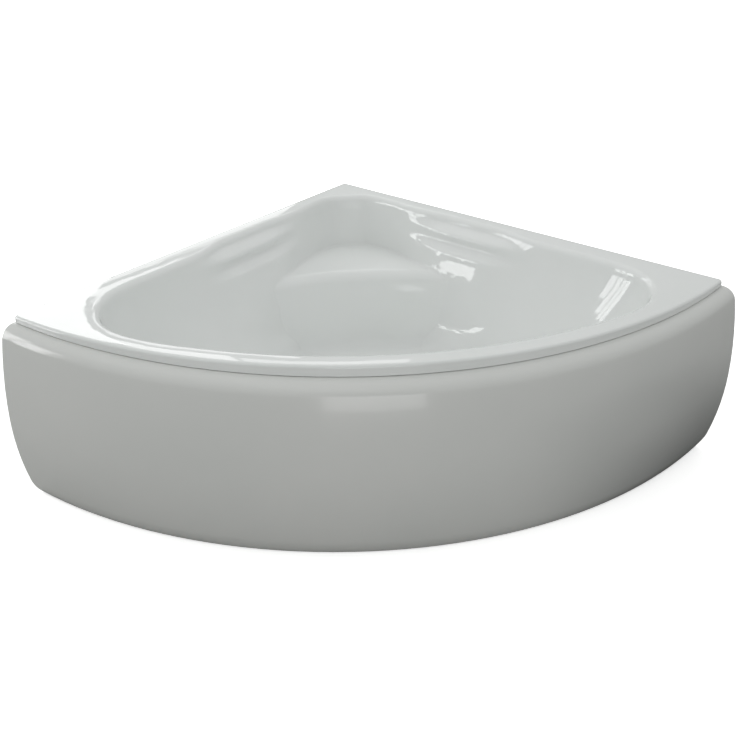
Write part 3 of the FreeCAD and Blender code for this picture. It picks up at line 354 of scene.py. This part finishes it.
def glossyAcrylic(spec, name, body, shade, rough, waveDepth):
    # cast acrylic: clean white body, water-clear skin, faint wipe marks
    material, tree, shader, place = newFinish(name)
    clouds = addNoise(tree, place, scale=2.3, detail=3.0)
    tone = addRange(tree, clouds, low=0.35, high=0.65)
    link(tree, addMix(tree, tone, body, shade), shader.inputs["Base Color"])
    marks = useGroup(tree, wipeMarks, place, Scale=4.0)
    setWornGloss(tree, shader, marks, spec["dulling"], rough)
    skin = useGroup(tree, sheetWaves, place, Long=7.0, Fine=130.0, FineShare=0.012)
    setBump(tree, shader, skin.outputs["Height"], strength=1.0, distance=waveDepth)
    shader.inputs["IOR"].default_value = spec["refraction"]
    shader.inputs["Coat Weight"].default_value = spec["coat"]
    shader.inputs["Coat Roughness"].default_value = spec["coatRough"]
    return material


# each layer of strands: its turn in radians and its scale
fibreBacking = {"layers": ((0.3, 22.0), (1.2, 27.0), (2.1, 24.0), (2.8, 31.0)), "strandRelief": 0.4,
                "resinThick": (0.60, 0.61, 0.52), "resinThin": (0.74, 0.74, 0.66),
                "strand": (0.86, 0.87, 0.82), "dust": (0.55, 0.53, 0.49)}


def glassFibre(spec):
    # sprayed and rolled resin over chopped strands
    material, tree, shader, place = newFinish("glass_fibre_backing")
    masks = [useGroup(tree, strands, place, Turn=turn, Scale=scale).outputs["Mask"]
             for turn, scale in spec["layers"]]
    matting = addMath(tree, "MAXIMUM", addMath(tree, "MAXIMUM", masks[0], masks[1]),
                      addMath(tree, "MAXIMUM", masks[2], masks[3]))
    clouds = addNoise(tree, place, scale=9.0, detail=3.0)
    pools = addRange(tree, clouds, low=0.35, high=0.7)
    resin = addMix(tree, pools, spec["resinThick"], spec["resinThin"])
    pale = addMix(tree, matting, resin, spec["strand"])
    setDustyColour(tree, shader, place, pale, spec["dust"], amount=0.5)
    rough = addRange(tree, pools, low=0.0, high=1.0, newLow=0.5, newHigh=0.28)
    link(tree, rough, shader.inputs["Roughness"])
    lumps = addNoise(tree, place, scale=60.0, detail=4.0, rough=0.6)
    relief = addMath(tree, "ADD", addMath(tree, "MULTIPLY", matting, spec["strandRelief"]), lumps)
    setBump(tree, shader, relief, strength=0.8, distance=0.0012)
    return material


timber = {"ringStretch": (0.9, 12, 12), "ringScale": 2.4, "ringDistortion": 5.5, "ringDetail": 3.0,
          "ringDetailScale": 1.4, "fibreStretch": (3, 160, 160), "ringRelief": 0.6,
          "dust": (0.62, 0.58, 0.52)}


def woodGrain(spec, name, turn, pale, dark):
    # softwood: long rings that drift, and fine fibres along them
    material, tree, shader, place = newFinish(name)
    lengthways = addMapping(tree, place, spec["ringStretch"], turn=(0, 0, turn))
    drift = addNoise(tree, lengthways, scale=1.6, detail=2.0)
    rings = tree.nodes.new("ShaderNodeTexWave")
    rings.bands_direction = "Y"
    rings.inputs["Scale"].default_value = spec["ringScale"]
    rings.inputs["Distortion"].default_value = spec["ringDistortion"]
    rings.inputs["Detail"].default_value = spec["ringDetail"]
    rings.inputs["Detail Scale"].default_value = spec["ringDetailScale"]
    link(tree, lengthways, rings.inputs["Vector"])
    grain = addRange(tree, rings.outputs["Fac"], low=0.2, high=0.95)
    fading = addRange(tree, drift, low=0.3, high=0.7, newLow=0.55, newHigh=1.0)
    darkShare = addMath(tree, "MULTIPLY", grain, fading)
    fibreWay = addMapping(tree, place, spec["fibreStretch"], turn=(0, 0, turn))
    fibres = addNoise(tree, fibreWay, scale=4.0, detail=3.0)
    wood = addMix(tree, darkShare, pale, dark)
    setDustyColour(tree, shader, place, wood, spec["dust"], amount=0.35)
    rough = addRange(tree, fibres, low=0.3, high=0.7, newLow=0.55, newHigh=0.8)
    link(tree, rough, shader.inputs["Roughness"])
    relief = addMath(tree, "ADD", fibres, addMath(tree, "MULTIPLY", grain, spec["ringRelief"]))
    setBump(tree, shader, relief, strength=0.6, distance=0.0006)
    return material


flakeBoard = {"flakeScale": 150, "flakeStretch": (1, 0.45, 1.3), "flakeTurn": (0, 0, 20),
              "warmDark": (0.50, 0.36, 0.21), "warmPale": (0.72, 0.56, 0.36),
              "barkDark": (0.29, 0.19, 0.11), "dust": (0.60, 0.56, 0.50)}


def pressedBoard(spec):
    # flakes of three tones, pressed flat, with rough broken edges
    material, tree, shader, place = newFinish("chipboard_base")
    flakeWay = addMapping(tree, place, spec["flakeStretch"], spec["flakeTurn"])
    flakes = addCells(tree, flakeWay, spec["flakeScale"])
    tones = addTones(tree, flakes.outputs["Color"])
    warm = addMix(tree, tones["Red"], spec["warmDark"], spec["warmPale"])
    dark = addRange(tree, tones["Green"], low=0.82, high=0.9)
    body = addMix(tree, dark, warm, spec["barkDark"])
    setDustyColour(tree, shader, place, body, spec["dust"], amount=0.4)
    rough = addRange(tree, tones["Blue"], low=0.0, high=1.0, newLow=0.6, newHigh=0.85)
    link(tree, rough, shader.inputs["Roughness"])
    splinters = addNoise(tree, place, scale=300.0, detail=3.0)
    relief = addMath(tree, "ADD", flakes.outputs["Distance"], splinters)
    setBump(tree, shader, relief, strength=0.5, distance=0.0005)
    return material


zincCoat = {"spangleScale": 90, "lineStretch": (4, 260, 260), "pale": (0.74, 0.76, 0.77),
            "dark": (0.50, 0.52, 0.53), "dust": (0.55, 0.54, 0.52)}


def zincPlate(spec):
    # bright zinc with soft cloudy patches and faint rolling lines
    material, tree, shader, place = newFinish("zinc_steel_plate")
    spangle = addCells(tree, place, spec["spangleScale"])
    tones = addTones(tree, spangle.outputs["Color"])
    clouds = addNoise(tree, place, scale=24.0, detail=5.0, rough=0.6)
    patches = addRange(tree, addMath(tree, "MULTIPLY", clouds, tones["Red"]), low=0.1, high=0.55)
    body = addMix(tree, patches, spec["dark"], spec["pale"])
    dust = setDustyColour(tree, shader, place, body, spec["dust"], amount=0.5)
    metal = addRange(tree, dust, low=0.0, high=1.0, newLow=0.95, newHigh=0.2)
    link(tree, metal, shader.inputs["Metallic"])
    lines = addNoise(tree, addMapping(tree, place, spec["lineStretch"]), scale=3.0, detail=4.0)
    rough = addRange(tree, lines, low=0.3, high=0.7, newLow=0.26, newHigh=0.46)
    link(tree, rough, shader.inputs["Roughness"])
    setBump(tree, shader, lines, strength=0.25, distance=0.0002)
    return material


plasticSkin = {"dust": (0.52, 0.50, 0.47), "dulling": 0.15}


def mouldedPlastic(spec, name, body, shade, rough, grainDepth, dusty):
    # injection-moulded: fine spark texture, faint flow clouds
    material, tree, shader, place = newFinish(name)
    clouds = addNoise(tree, place, scale=14.0, detail=3.0)
    flow = addRange(tree, clouds, low=0.3, high=0.7)
    tone = addMix(tree, flow, body, shade)
    setDustyColour(tree, shader, place, tone, spec["dust"], dusty)
    marks = useGroup(tree, wipeMarks, place, Scale=16.0)
    setWornGloss(tree, shader, marks, spec["dulling"], rough)
    skin = useGroup(tree, sheetWaves, place, Long=30.0, Fine=900.0, FineShare=0.5)
    setBump(tree, shader, skin.outputs["Height"], strength=0.4, distance=grainDepth)
    return material


metalPolish = {"speckShade": 0.82, "dulling": 0.12}


def chromePlate(spec, name, tint, rough):
    # mirror-bright metal with a few specks and wipe marks
    material, tree, shader, place = newFinish(name)
    marks = useGroup(tree, wipeMarks, place, Scale=22.0)
    speckTone = tuple(c * spec["speckShade"] for c in tint)
    spotted = addMix(tree, marks.outputs["Specks"], tint, speckTone)
    link(tree, spotted, shader.inputs["Base Color"])
    shader.inputs["Metallic"].default_value = 1.0
    setWornGloss(tree, shader, marks, spec["dulling"], rough)
    skin = useGroup(tree, sheetWaves, place, Long=40.0, Fine=400.0, FineShare=0.05)
    setBump(tree, shader, skin.outputs["Height"], strength=0.3, distance=0.0001)
    return material


acrylicTub = glossyAcrylic(acrylicSkin, "tub_acrylic_gloss", body=(0.85, 0.865, 0.855),
                           shade=(0.825, 0.845, 0.83), rough=0.04, waveDepth=0.0012)
# the panel is the same white acrylic as the tub, coloured a darker grey here: painted shade over the whole
# front panel
shadedPanelAcrylic = glossyAcrylic(acrylicSkin, "panel_acrylic_painted_shade", body=(0.735, 0.74, 0.72),
                             shade=(0.71, 0.72, 0.70), rough=0.17, waveDepth=0.0008)
fibreBack = glassFibre(fibreBacking)
battenRight = woodGrain(timber, "softwood_right", turn=45, pale=(0.74, 0.56, 0.35), dark=(0.52, 0.33, 0.17))
battenLeft = woodGrain(timber, "softwood_left", turn=-45, pale=(0.76, 0.58, 0.37), dark=(0.54, 0.35, 0.18))
frontWood = woodGrain(timber, "softwood_front", turn=0, pale=(0.73, 0.55, 0.34), dark=(0.52, 0.34, 0.18))
chipboard = pressedBoard(flakeBoard)
zincSteel = zincPlate(zincCoat)
stemSteel = chromePlate(metalPolish, "stainless_stem", tint=(0.66, 0.66, 0.65), rough=0.24)
chrome = chromePlate(metalPolish, "bright_chrome", tint=(0.85, 0.86, 0.87), rough=0.05)
footPlastic = mouldedPlastic(plasticSkin, "foot_plastic_black", body=(0.022, 0.022, 0.023),
                             shade=(0.035, 0.035, 0.036), rough=0.5, grainDepth=0.0005, dusty=0.35)
sealRubber = mouldedPlastic(plasticSkin, "seal_rubber_black", body=(0.018, 0.018, 0.018),
                            shade=(0.03, 0.03, 0.03), rough=0.72, grainDepth=0.0006, dusty=0.2)
whitePlastic = mouldedPlastic(plasticSkin, "white_polypropylene", body=(0.78, 0.78, 0.75),
                              shade=(0.73, 0.73, 0.70), rough=0.38, grainDepth=0.0004, dusty=0.25)
greyPipe = mouldedPlastic(plasticSkin, "grey_overflow_pipe", body=(0.30, 0.31, 0.32),
                          shade=(0.25, 0.26, 0.27), rough=0.4, grainDepth=0.0004, dusty=0.3)
cableSheath = mouldedPlastic(plasticSkin, "cable_sheath_black", body=(0.03, 0.03, 0.03),
                             shade=(0.05, 0.05, 0.05), rough=0.45, grainDepth=0.0003, dusty=0.2)
print("finishes made")

# the CAD nodes that keep their own mesh, by finish
nodesByFinish = (
    (battenRight, ("rim_batten_right",)),
    (battenLeft, ("rim_batten_left",)),
    (frontWood, ("front_rim_board",)),
    (chipboard, ("base_board",)),
    (zincSteel, ("rail_front", "rail_back", "rail_nuts", "lock_nuts", "wall_hanger_clips",
                 "panel_top_clips", "panel_stays")),
    (sealRubber, ("waste_gasket_upper", "waste_gasket_lower", "plug_seal", "trap_washer",
                  "overflow_gasket")),
    (chrome, ("waste_flange", "plug_cap", "overflow_face_plate", "overflow_knob")),
    (stemSteel, ("plug_stem",)),
    (whitePlastic, ("waste_body", "trap_nut", "trap_body", "trap_cleaning_cap", "trap_outlet_nut",
                    "overflow_body", "pipe_nuts")),
    (greyPipe, ("overflow_pipe",)),
    (cableSheath, ("control_cable",)),
    (footPlastic, ["foot_pad_%d" % number for number in range(1, footCount + 1)]),
)
for finish, nodeNames in nodesByFinish:
    for nodeName in nodeNames:
        paint(cadNodes[nodeName], finish)


def backWithFibre(piece, wanted, flatSpread):
    # the wanted faces and all that joins them smoothly take the second finish, the fibre backing
    found = selectFaces(piece, wanted)
    bpy.ops.object.mode_set(mode="EDIT")
    bpy.ops.mesh.faces_select_linked_flat(sharpness=math.radians(flatSpread))
    piece.active_material_index = 1
    bpy.ops.object.material_slot_assign()
    bpy.ops.object.mode_set(mode="OBJECT")
    backed = sum(face.material_index for face in piece.data.polygons)
    print(piece.name, found, "faces spread to", backed, "of", len(piece.data.polygons))


# the backing starts under the bowl's floor and spreads to the first sharp edges
tubSkin = {"node": "tub_shell", "smoothAngle": 30, "flatSpread": 40, "seedFacing": -0.99, "seedDepth": 0.002}


def makeTubSkin(spec):
    piece = copyOfNode(spec["node"], "tub_skin")
    smooth(piece, spec["smoothAngle"])
    paint(piece, acrylicTub, fibreBack)
    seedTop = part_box("tub_shell")[0].z + spec["seedDepth"]

    def isSeed(centre, normal):
        return normal.z < spec["seedFacing"] and centre.z < seedTop

    backWithFibre(piece, isSeed, spec["flatSpread"])
    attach(piece, "tub")
    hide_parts(spec["node"])


makeTubSkin(tubSkin)


# the backing starts from the middle of the hollow side; the outer side and the flange tops stay glossy
panelSkin = {"node": "front_panel", "smoothAngle": 30, "flatSpread": 25, "seedFacing": 0.8,
             "seedHigh": 0.05, "seedWide": 0.3}


def makePanelSkin(spec):
    piece = copyOfNode(spec["node"], "panel_skin")
    smooth(piece, spec["smoothAngle"])
    paint(piece, shadedPanelAcrylic, fibreBack)
    low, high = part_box(spec["node"])
    middle = (low.z + high.z) / 2

    def isSeed(centre, normal):
        nearMiddle = abs(centre.z - middle) < spec["seedHigh"] and abs(centre.x) < spec["seedWide"]
        return nearMiddle and normal.y > spec["seedFacing"]

    backWithFibre(piece, isSeed, spec["flatSpread"])
    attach(piece, "tub")
    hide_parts(spec["node"])


makePanelSkin(panelSkin)


# M12 coarse rod, 1.75 mm pitch, cut flat at both ends; the profile's slopes and flats are shares of a pitch
footStud = {"pitch": 0.00175, "crestRadius": 0.0059, "rootRadius": 0.0050, "slopeShare": 0.375,
            "flatShare": 0.125, "sides": 18, "spareTurns": 2, "smoothAngle": 50, "seedSize": 0.001}


def makeThreadedRod(spec, name, low, high):
    # one turn's profile is drawn out of a single corner of a plane, then wound up the rod
    bpy.ops.object.select_all(action="DESELECT")
    bpy.ops.mesh.primitive_plane_add(size=spec["seedSize"])
    rod = bpy.context.object
    rod.name = name
    bpy.ops.object.mode_set(mode="EDIT")
    bpy.ops.mesh.select_mode(type="VERT")
    bpy.ops.mesh.select_all(action="SELECT")
    bpy.ops.mesh.merge(type="CENTER")
    pitch, spare = spec["pitch"], spec["spareTurns"]
    bpy.ops.transform.translate(value=(spec["rootRadius"], 0, -spare * pitch))
    rise = spec["crestRadius"] - spec["rootRadius"]
    for out, up in ((rise, spec["slopeShare"]), (0, spec["flatShare"]),
                    (-rise, spec["slopeShare"]), (0, spec["flatShare"])):
        bpy.ops.mesh.extrude_vertices_move(TRANSFORM_OT_translate={"value": (out, 0, up * pitch)})
    bpy.ops.object.mode_set(mode="OBJECT")
    screw = rod.modifiers.new("thread", "SCREW")
    screw.axis = "Z"
    screw.angle = math.radians(360)
    screw.screw_offset = pitch
    screw.iterations = math.ceil((high.z - low.z) / pitch) + 2 * spare
    screw.steps = spec["sides"]
    screw.render_steps = spec["sides"]
    screw.use_merge_vertices = True
    screw.merge_threshold = mergeGap
    applyModifiers(rod)
    bpy.ops.object.mode_set(mode="EDIT")
    bpy.ops.mesh.select_all(action="SELECT")
    bpy.ops.mesh.remove_doubles(threshold=mergeGap)
    for height, side in ((0, -1), (high.z - low.z, 1)):
        bpy.ops.mesh.select_all(action="SELECT")
        bpy.ops.mesh.bisect(plane_co=(0, 0, height), plane_no=(0, 0, side), clear_outer=True, use_fill=True)
    bpy.ops.mesh.select_all(action="SELECT")
    bpy.ops.mesh.normals_make_consistent(inside=False)
    bpy.ops.object.mode_set(mode="OBJECT")
    rod.location = ((low.x + high.x) / 2, (low.y + high.y) / 2, low.z)
    applyPlace(rod)
    smooth(rod, spec["smoothAngle"])
    paint(rod, zincSteel)
    print("threaded rod:", len(rod.data.polygons), "faces")
    return rod


def makeFootStuds(spec):
    # the first stud is modelled, and the others are copies of it at their own nodes' places
    pattern = None
    for number in range(1, footCount + 1):
        node = "foot_stud_%d" % number
        low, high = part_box(node)
        if pattern is None:
            stud = makeThreadedRod(spec, "threaded_stud_%d" % number, low, high)
            pattern = stud
            origin = low.copy()
        else:
            stud = copyOfPiece(pattern, "threaded_stud_%d" % number)
            stud.location = low - origin
            applyPlace(stud)
        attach(stud, "foot_%d" % number)
        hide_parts(node)


makeFootStuds(footStud)
print("threaded studs made")


# pan head screws, drawn head up at the origin with the shank going down
panScrew = {"headRadius": 0.0040, "headHeight": 0.0024, "headSides": 32, "edgeRound": 0.0012, "edgeSteps": 5,
            "shankRadius": 0.0019, "threadPitch": 0.0014, "threadHeight": 0.0002, "pointLong": 0.003,
            "pointShare": 0.2, "recessLong": 0.0042, "recessWide": 0.0009, "recessDeep": 0.0013,
            "bladeRise": 0.001, "bladeTaper": 0.55, "downFacing": -0.9, "smoothAngle": 35, "turnStep": 37}
screwGroups = {
    "rail_screws": {"length": 0.014, "way": (0, 0, 1)},
    "panel_clip_screws": {"length": 0.014, "way": (0, 0, 1)},
    "panel_stay_screws": {"length": 0.008, "way": (0, 1, 0)},
}


def makeScrew(spec, name, length):
    bpy.ops.object.select_all(action="DESELECT")
    top = spec["headHeight"]
    bpy.ops.mesh.primitive_cylinder_add(vertices=spec["headSides"], radius=spec["headRadius"], depth=top,
                                        location=(0, 0, top / 2))
    screw = bpy.context.object
    screw.name = name
    applyPlace(screw)
    selectEdges(screw, lambda a, b: min(a.z, b.z) > top / 2)
    bpy.ops.object.mode_set(mode="EDIT")
    bpy.ops.mesh.bevel(offset=spec["edgeRound"], segments=spec["edgeSteps"], affect="EDGES")
    bpy.ops.object.mode_set(mode="OBJECT")
    # the shank grows out of the head's flat underside, ribbed by its thread, and ends in a short point
    selectFaces(screw, lambda centre, normal: normal.z < spec["downFacing"])
    bpy.ops.object.mode_set(mode="EDIT")
    bpy.ops.mesh.inset(thickness=spec["headRadius"] - spec["shankRadius"])
    turns = int((length - spec["pointLong"]) / spec["threadPitch"])
    slim = 1 - spec["threadHeight"] / spec["shankRadius"]
    for rib in range(turns):
        for grow in (slim, 1 / slim):
            bpy.ops.mesh.extrude_region_move(
                TRANSFORM_OT_translate={"value": (0, 0, -spec["threadPitch"] / 2)})
            bpy.ops.transform.resize(value=(grow, grow, 1))
    left = length - turns * spec["threadPitch"]
    bpy.ops.mesh.extrude_region_move(TRANSFORM_OT_translate={"value": (0, 0, -left)})
    bpy.ops.transform.resize(value=(spec["pointShare"], spec["pointShare"], 1))
    bpy.ops.object.mode_set(mode="OBJECT")
    cutRecess(spec, screw)
    smooth(screw, spec["smoothAngle"])
    return screw


def cutRecess(spec, screw):
    # two tapered blades crossed, taken out of the head's crown
    depth = spec["recessDeep"] + spec["bladeRise"]
    middle = spec["headHeight"] + spec["bladeRise"] - depth / 2
    for turn in (0, 90):
        bpy.ops.object.select_all(action="DESELECT")
        bpy.ops.mesh.primitive_cube_add(size=1, location=(0, 0, middle))
        blade = bpy.context.object
        blade.scale = (spec["recessLong"], spec["recessWide"], depth)
        blade.rotation_euler = (0, 0, math.radians(turn))
        applyPlace(blade)
        selectFaces(blade, lambda centre, normal: centre.z < middle - depth / 4)
        bpy.ops.object.mode_set(mode="EDIT")
        bpy.ops.transform.resize(value=(spec["bladeTaper"], spec["bladeTaper"], 1),
                                 center_override=(0, 0, middle))
        bpy.ops.object.mode_set(mode="OBJECT")
        cut = screw.modifiers.new("recess", "BOOLEAN")
        cut.operation = "DIFFERENCE"
        cut.object = blade
        cut.solver = "EXACT"
        applyModifiers(screw)
        bpy.data.objects.remove(blade, do_unlink=True)


def screwBoxes(nodeName):
    # where each screw of a CAD group lies: the boxes of its separate solids
    trial = copyOfNode(nodeName, "trial")
    takeOnly(trial)
    bpy.ops.mesh.separate(type="LOOSE")
    boxes = []
    for part in list(bpy.context.selected_objects):
        points = [v.co.copy() for v in part.data.vertices]
        low = Vector([min(p[i] for p in points) for i in range(3)])
        high = Vector([max(p[i] for p in points) for i in range(3)])
        boxes.append((low, high))
        bpy.data.objects.remove(part, do_unlink=True)
    return sorted(boxes, key=lambda pair: pair[0].x)


def makeScrewGroup(spec, nodeName, group):
    pattern = makeScrew(spec, "screw_pattern", group["length"])
    way = Vector(group["way"])
    for index, (low, high) in enumerate(screwBoxes(nodeName), 1):
        screw = copyOfPiece(pattern, "%s_%d" % (nodeName[:-1], index))
        middle = (low + high) / 2
        # the head's crown looks against the driving direction
        crown = middle - way * abs((high - low).dot(way)) / 2
        turn = Matrix.Rotation(math.radians(spec["turnStep"] * index), 4, "Z")
        facing = (-way).to_track_quat("Z", "Y").to_matrix().to_4x4()
        screw.matrix_world = Matrix.Translation(crown + way * spec["headHeight"]) @ facing @ turn
        applyPlace(screw)
        paint(screw, zincSteel)
        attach(screw, "tub")
        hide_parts(nodeName)
    bpy.data.objects.remove(pattern, do_unlink=True)


for nodeName, group in screwGroups.items():
    makeScrewGroup(panScrew, nodeName, group)
print("screws made")


# the floor is pale to the eye and greyer to the light it throws back; it fades to white with distance
studio = {"floorSize": 60.0, "floorPale": (0.93, 0.93, 0.925), "floorBounce": (0.50, 0.50, 0.49),
          "floorRough": 0.9, "floorSheen": 0.1, "darkBounce": (0.02, 0.02, 0.02),
          "darkPlace": (1.22, -0.66), "darkNear": 0.35, "darkFar": 0.85,
          "glowNear": 0.58, "glowFar": 1.0, "fadeNear": 1.0, "fadeFar": 2.4,
          "worldTint": (0.985, 1.0, 0.995, 1), "worldLow": 0.46, "worldSky": 0.56, "worldSeen": 1.0}


def makeFloor(spec):
    bpy.ops.object.select_all(action="DESELECT")
    bpy.ops.mesh.primitive_plane_add(size=spec["floorSize"], location=(0, 0, 0))
    floor = bpy.context.object
    floor.name = "studio_floor"
    material, tree, shader, place = newFinish("pale_floor")
    seen = tree.nodes.new("ShaderNodeLightPath").outputs["Is Camera Ray"]
    darkX, darkY = spec["darkPlace"]
    fromDark = addMapping(tree, place, place=(-darkX, -darkY, 0))
    away = addRange(tree, addLength(tree, fromDark), spec["darkNear"], spec["darkFar"])
    bounce = addMix(tree, away, spec["darkBounce"], spec["floorBounce"])
    link(tree, addMix(tree, seen, bounce, spec["floorPale"]), shader.inputs["Base Color"])
    fade = addRange(tree, addLength(tree, place), spec["fadeNear"], spec["fadeFar"],
                    spec["glowNear"], spec["glowFar"])
    shader.inputs["Emission Color"].default_value = (1, 1, 1, 1)
    link(tree, addMath(tree, "MULTIPLY", fade, seen), shader.inputs["Emission Strength"])
    shader.inputs["Roughness"].default_value = spec["floorRough"]
    shader.inputs["Specular IOR Level"].default_value = spec["floorSheen"]
    paint(floor, material)


def makeWorld(spec):
    # a plain sky that is a little brighter overhead, and white where the camera sees it
    world = bpy.data.worlds.new("studio_world")
    world.use_nodes = True
    bpy.context.scene.world = world
    tree = world.node_tree
    background = tree.nodes["Background"]
    way = tree.nodes.new("ShaderNodeTexCoord").outputs["Generated"]
    height = addRange(tree, addHeight(tree, way), low=-0.1, high=0.9,
                      newLow=spec["worldLow"], newHigh=spec["worldSky"])
    seen = tree.nodes.new("ShaderNodeLightPath").outputs["Is Camera Ray"]
    strength = addMix(tree, seen, height, spec["worldSeen"], mixNumber)
    link(tree, strength, background.inputs["Strength"])
    background.inputs["Color"].default_value = spec["worldTint"]


def addPanelLight(name, place, target, width, height, power, mirrored=True, lighting=True):
    light = bpy.data.lights.new(name, "AREA")
    light.shape = "RECTANGLE"
    light.size = width
    light.size_y = height
    light.energy = power
    lamp = addToScene(name, light)
    lamp.location = place
    lamp.rotation_euler = (Vector(target) - Vector(place)).to_track_quat("-Z", "Y").to_euler()
    # some lamps only light the scene and some only show in its shiny faces
    lamp.visible_glossy = mirrored
    lamp.visible_diffuse = lighting


makeFloor(studio)
makeWorld(studio)


# a tall window of four panes stands to the left and shows in the gloss
studioWindow = {"left": -3.4, "low": 0.35, "high": 2.1, "radiance": 4.2,
                "panes": ({"middle": -0.63, "width": 0.50, "topDrop": 0.45},
                          {"middle": -0.06, "width": 0.46, "topDrop": 0.1},
                          {"middle": 0.47, "width": 0.40, "topDrop": 0.0},
                          {"middle": 1.02, "width": 0.56, "topDrop": 0.0})}


def makeWindow(spec):
    # each pane has its middle along the wall, its width, and how far its top lies below the window's
    for index, pane in enumerate(spec["panes"], 1):
        middle, width = pane["middle"], pane["width"]
        tall = spec["high"] - pane["topDrop"] - spec["low"]
        level = spec["low"] + tall / 2
        power = spec["radiance"] * math.pi * width * tall
        addPanelLight("window_pane_%d" % index, (spec["left"], middle, level), (0, middle, level),
                      width, tall, power, lighting=False)


makeWindow(studioWindow)

# the back lamps are brightest at the left and fade to the right; the fills only light, and the
# low glow in front only shows in the panel's shoulder
studioLamps = {
    "back_window": {"place": (-1.70, 2.9, 2.05), "target": (-0.7, -0.2, 0.6),
                    "width": 1.0, "height": 0.9, "power": 6.6},
    "back_middle": {"place": (-0.62, 2.9, 1.60), "target": (-0.4, 0.1, 0.6),
                    "width": 1.15, "height": 0.55, "power": 2.6},
    "back_upper": {"place": (-0.85, 2.9, 2.47), "target": (-0.6, -0.5, 0.6),
                   "width": 0.7, "height": 0.6, "power": 2.4},
    "back_right": {"place": (0.10, 2.9, 2.60), "target": (-0.1, -0.6, 0.6),
                   "width": 1.1, "height": 0.45, "power": 1.9},
    "high_fill": {"place": (0.3, 2.2, 3.7), "target": (-0.2, -0.1, 0.3),
                  "width": 2.2, "height": 2.2, "power": 20, "mirrored": False},
    "front_fill": {"place": (-0.5, -3.0, 3.6), "target": (-0.1, 0.0, 0.4),
                   "width": 2.4, "height": 2.4, "power": 26, "mirrored": False},
    "left_fill": {"place": (-3.4, 0.4, 1.8), "target": (0.0, 0.0, 0.6),
                  "width": 1.6, "height": 1.8, "power": 12, "mirrored": False},
    "front_glow": {"place": (-0.05, -2.2, 0.38), "target": (-0.05, 0, 0.38),
                   "width": 0.9, "height": 0.6, "power": 2.8, "lighting": False},
}
for name, lamp in studioLamps.items():
    addPanelLight(name, **lamp)


# angles in degrees; the focal length and the middle of the view in pixels of a square picture
shot = {"place": (-0.3643, -2.7511, 1.7260), "yaw": -7.42, "down": 28.73, "roll": 0.22,
        "focalPixels": 1000.0, "middle": (367.6, 365.0), "side": 736, "sensorWidth": 36}


def makeCamera(spec):
    yaw, down, roll = (math.radians(spec[k]) for k in ("yaw", "down", "roll"))
    ahead = Vector((-math.sin(yaw) * math.cos(down), math.cos(yaw) * math.cos(down), -math.sin(down)))
    right = Vector((math.cos(yaw), math.sin(yaw), 0))
    up = right.cross(ahead)
    right, up = (math.cos(roll) * right + math.sin(roll) * up,
                 -math.sin(roll) * right + math.cos(roll) * up)
    data = bpy.data.cameras.new("photo_camera")
    data.sensor_width = spec["sensorWidth"]
    data.lens = spec["focalPixels"] * spec["sensorWidth"] / spec["side"]
    half = spec["side"] / 2
    data.shift_x = (half - spec["middle"][0]) / spec["side"]
    data.shift_y = (spec["middle"][1] - half) / spec["side"]
    camera = addToScene("photo_camera", data)
    turn = Matrix((right, up, -ahead)).transposed().to_4x4()
    camera.matrix_world = Matrix.Translation(spec["place"]) @ turn
    bpy.context.scene.camera = camera


makeCamera(shot)
bpy.context.scene.view_settings.view_transform = "Standard"
bpy.context.scene.view_settings.look = "None"
print("studio ready")
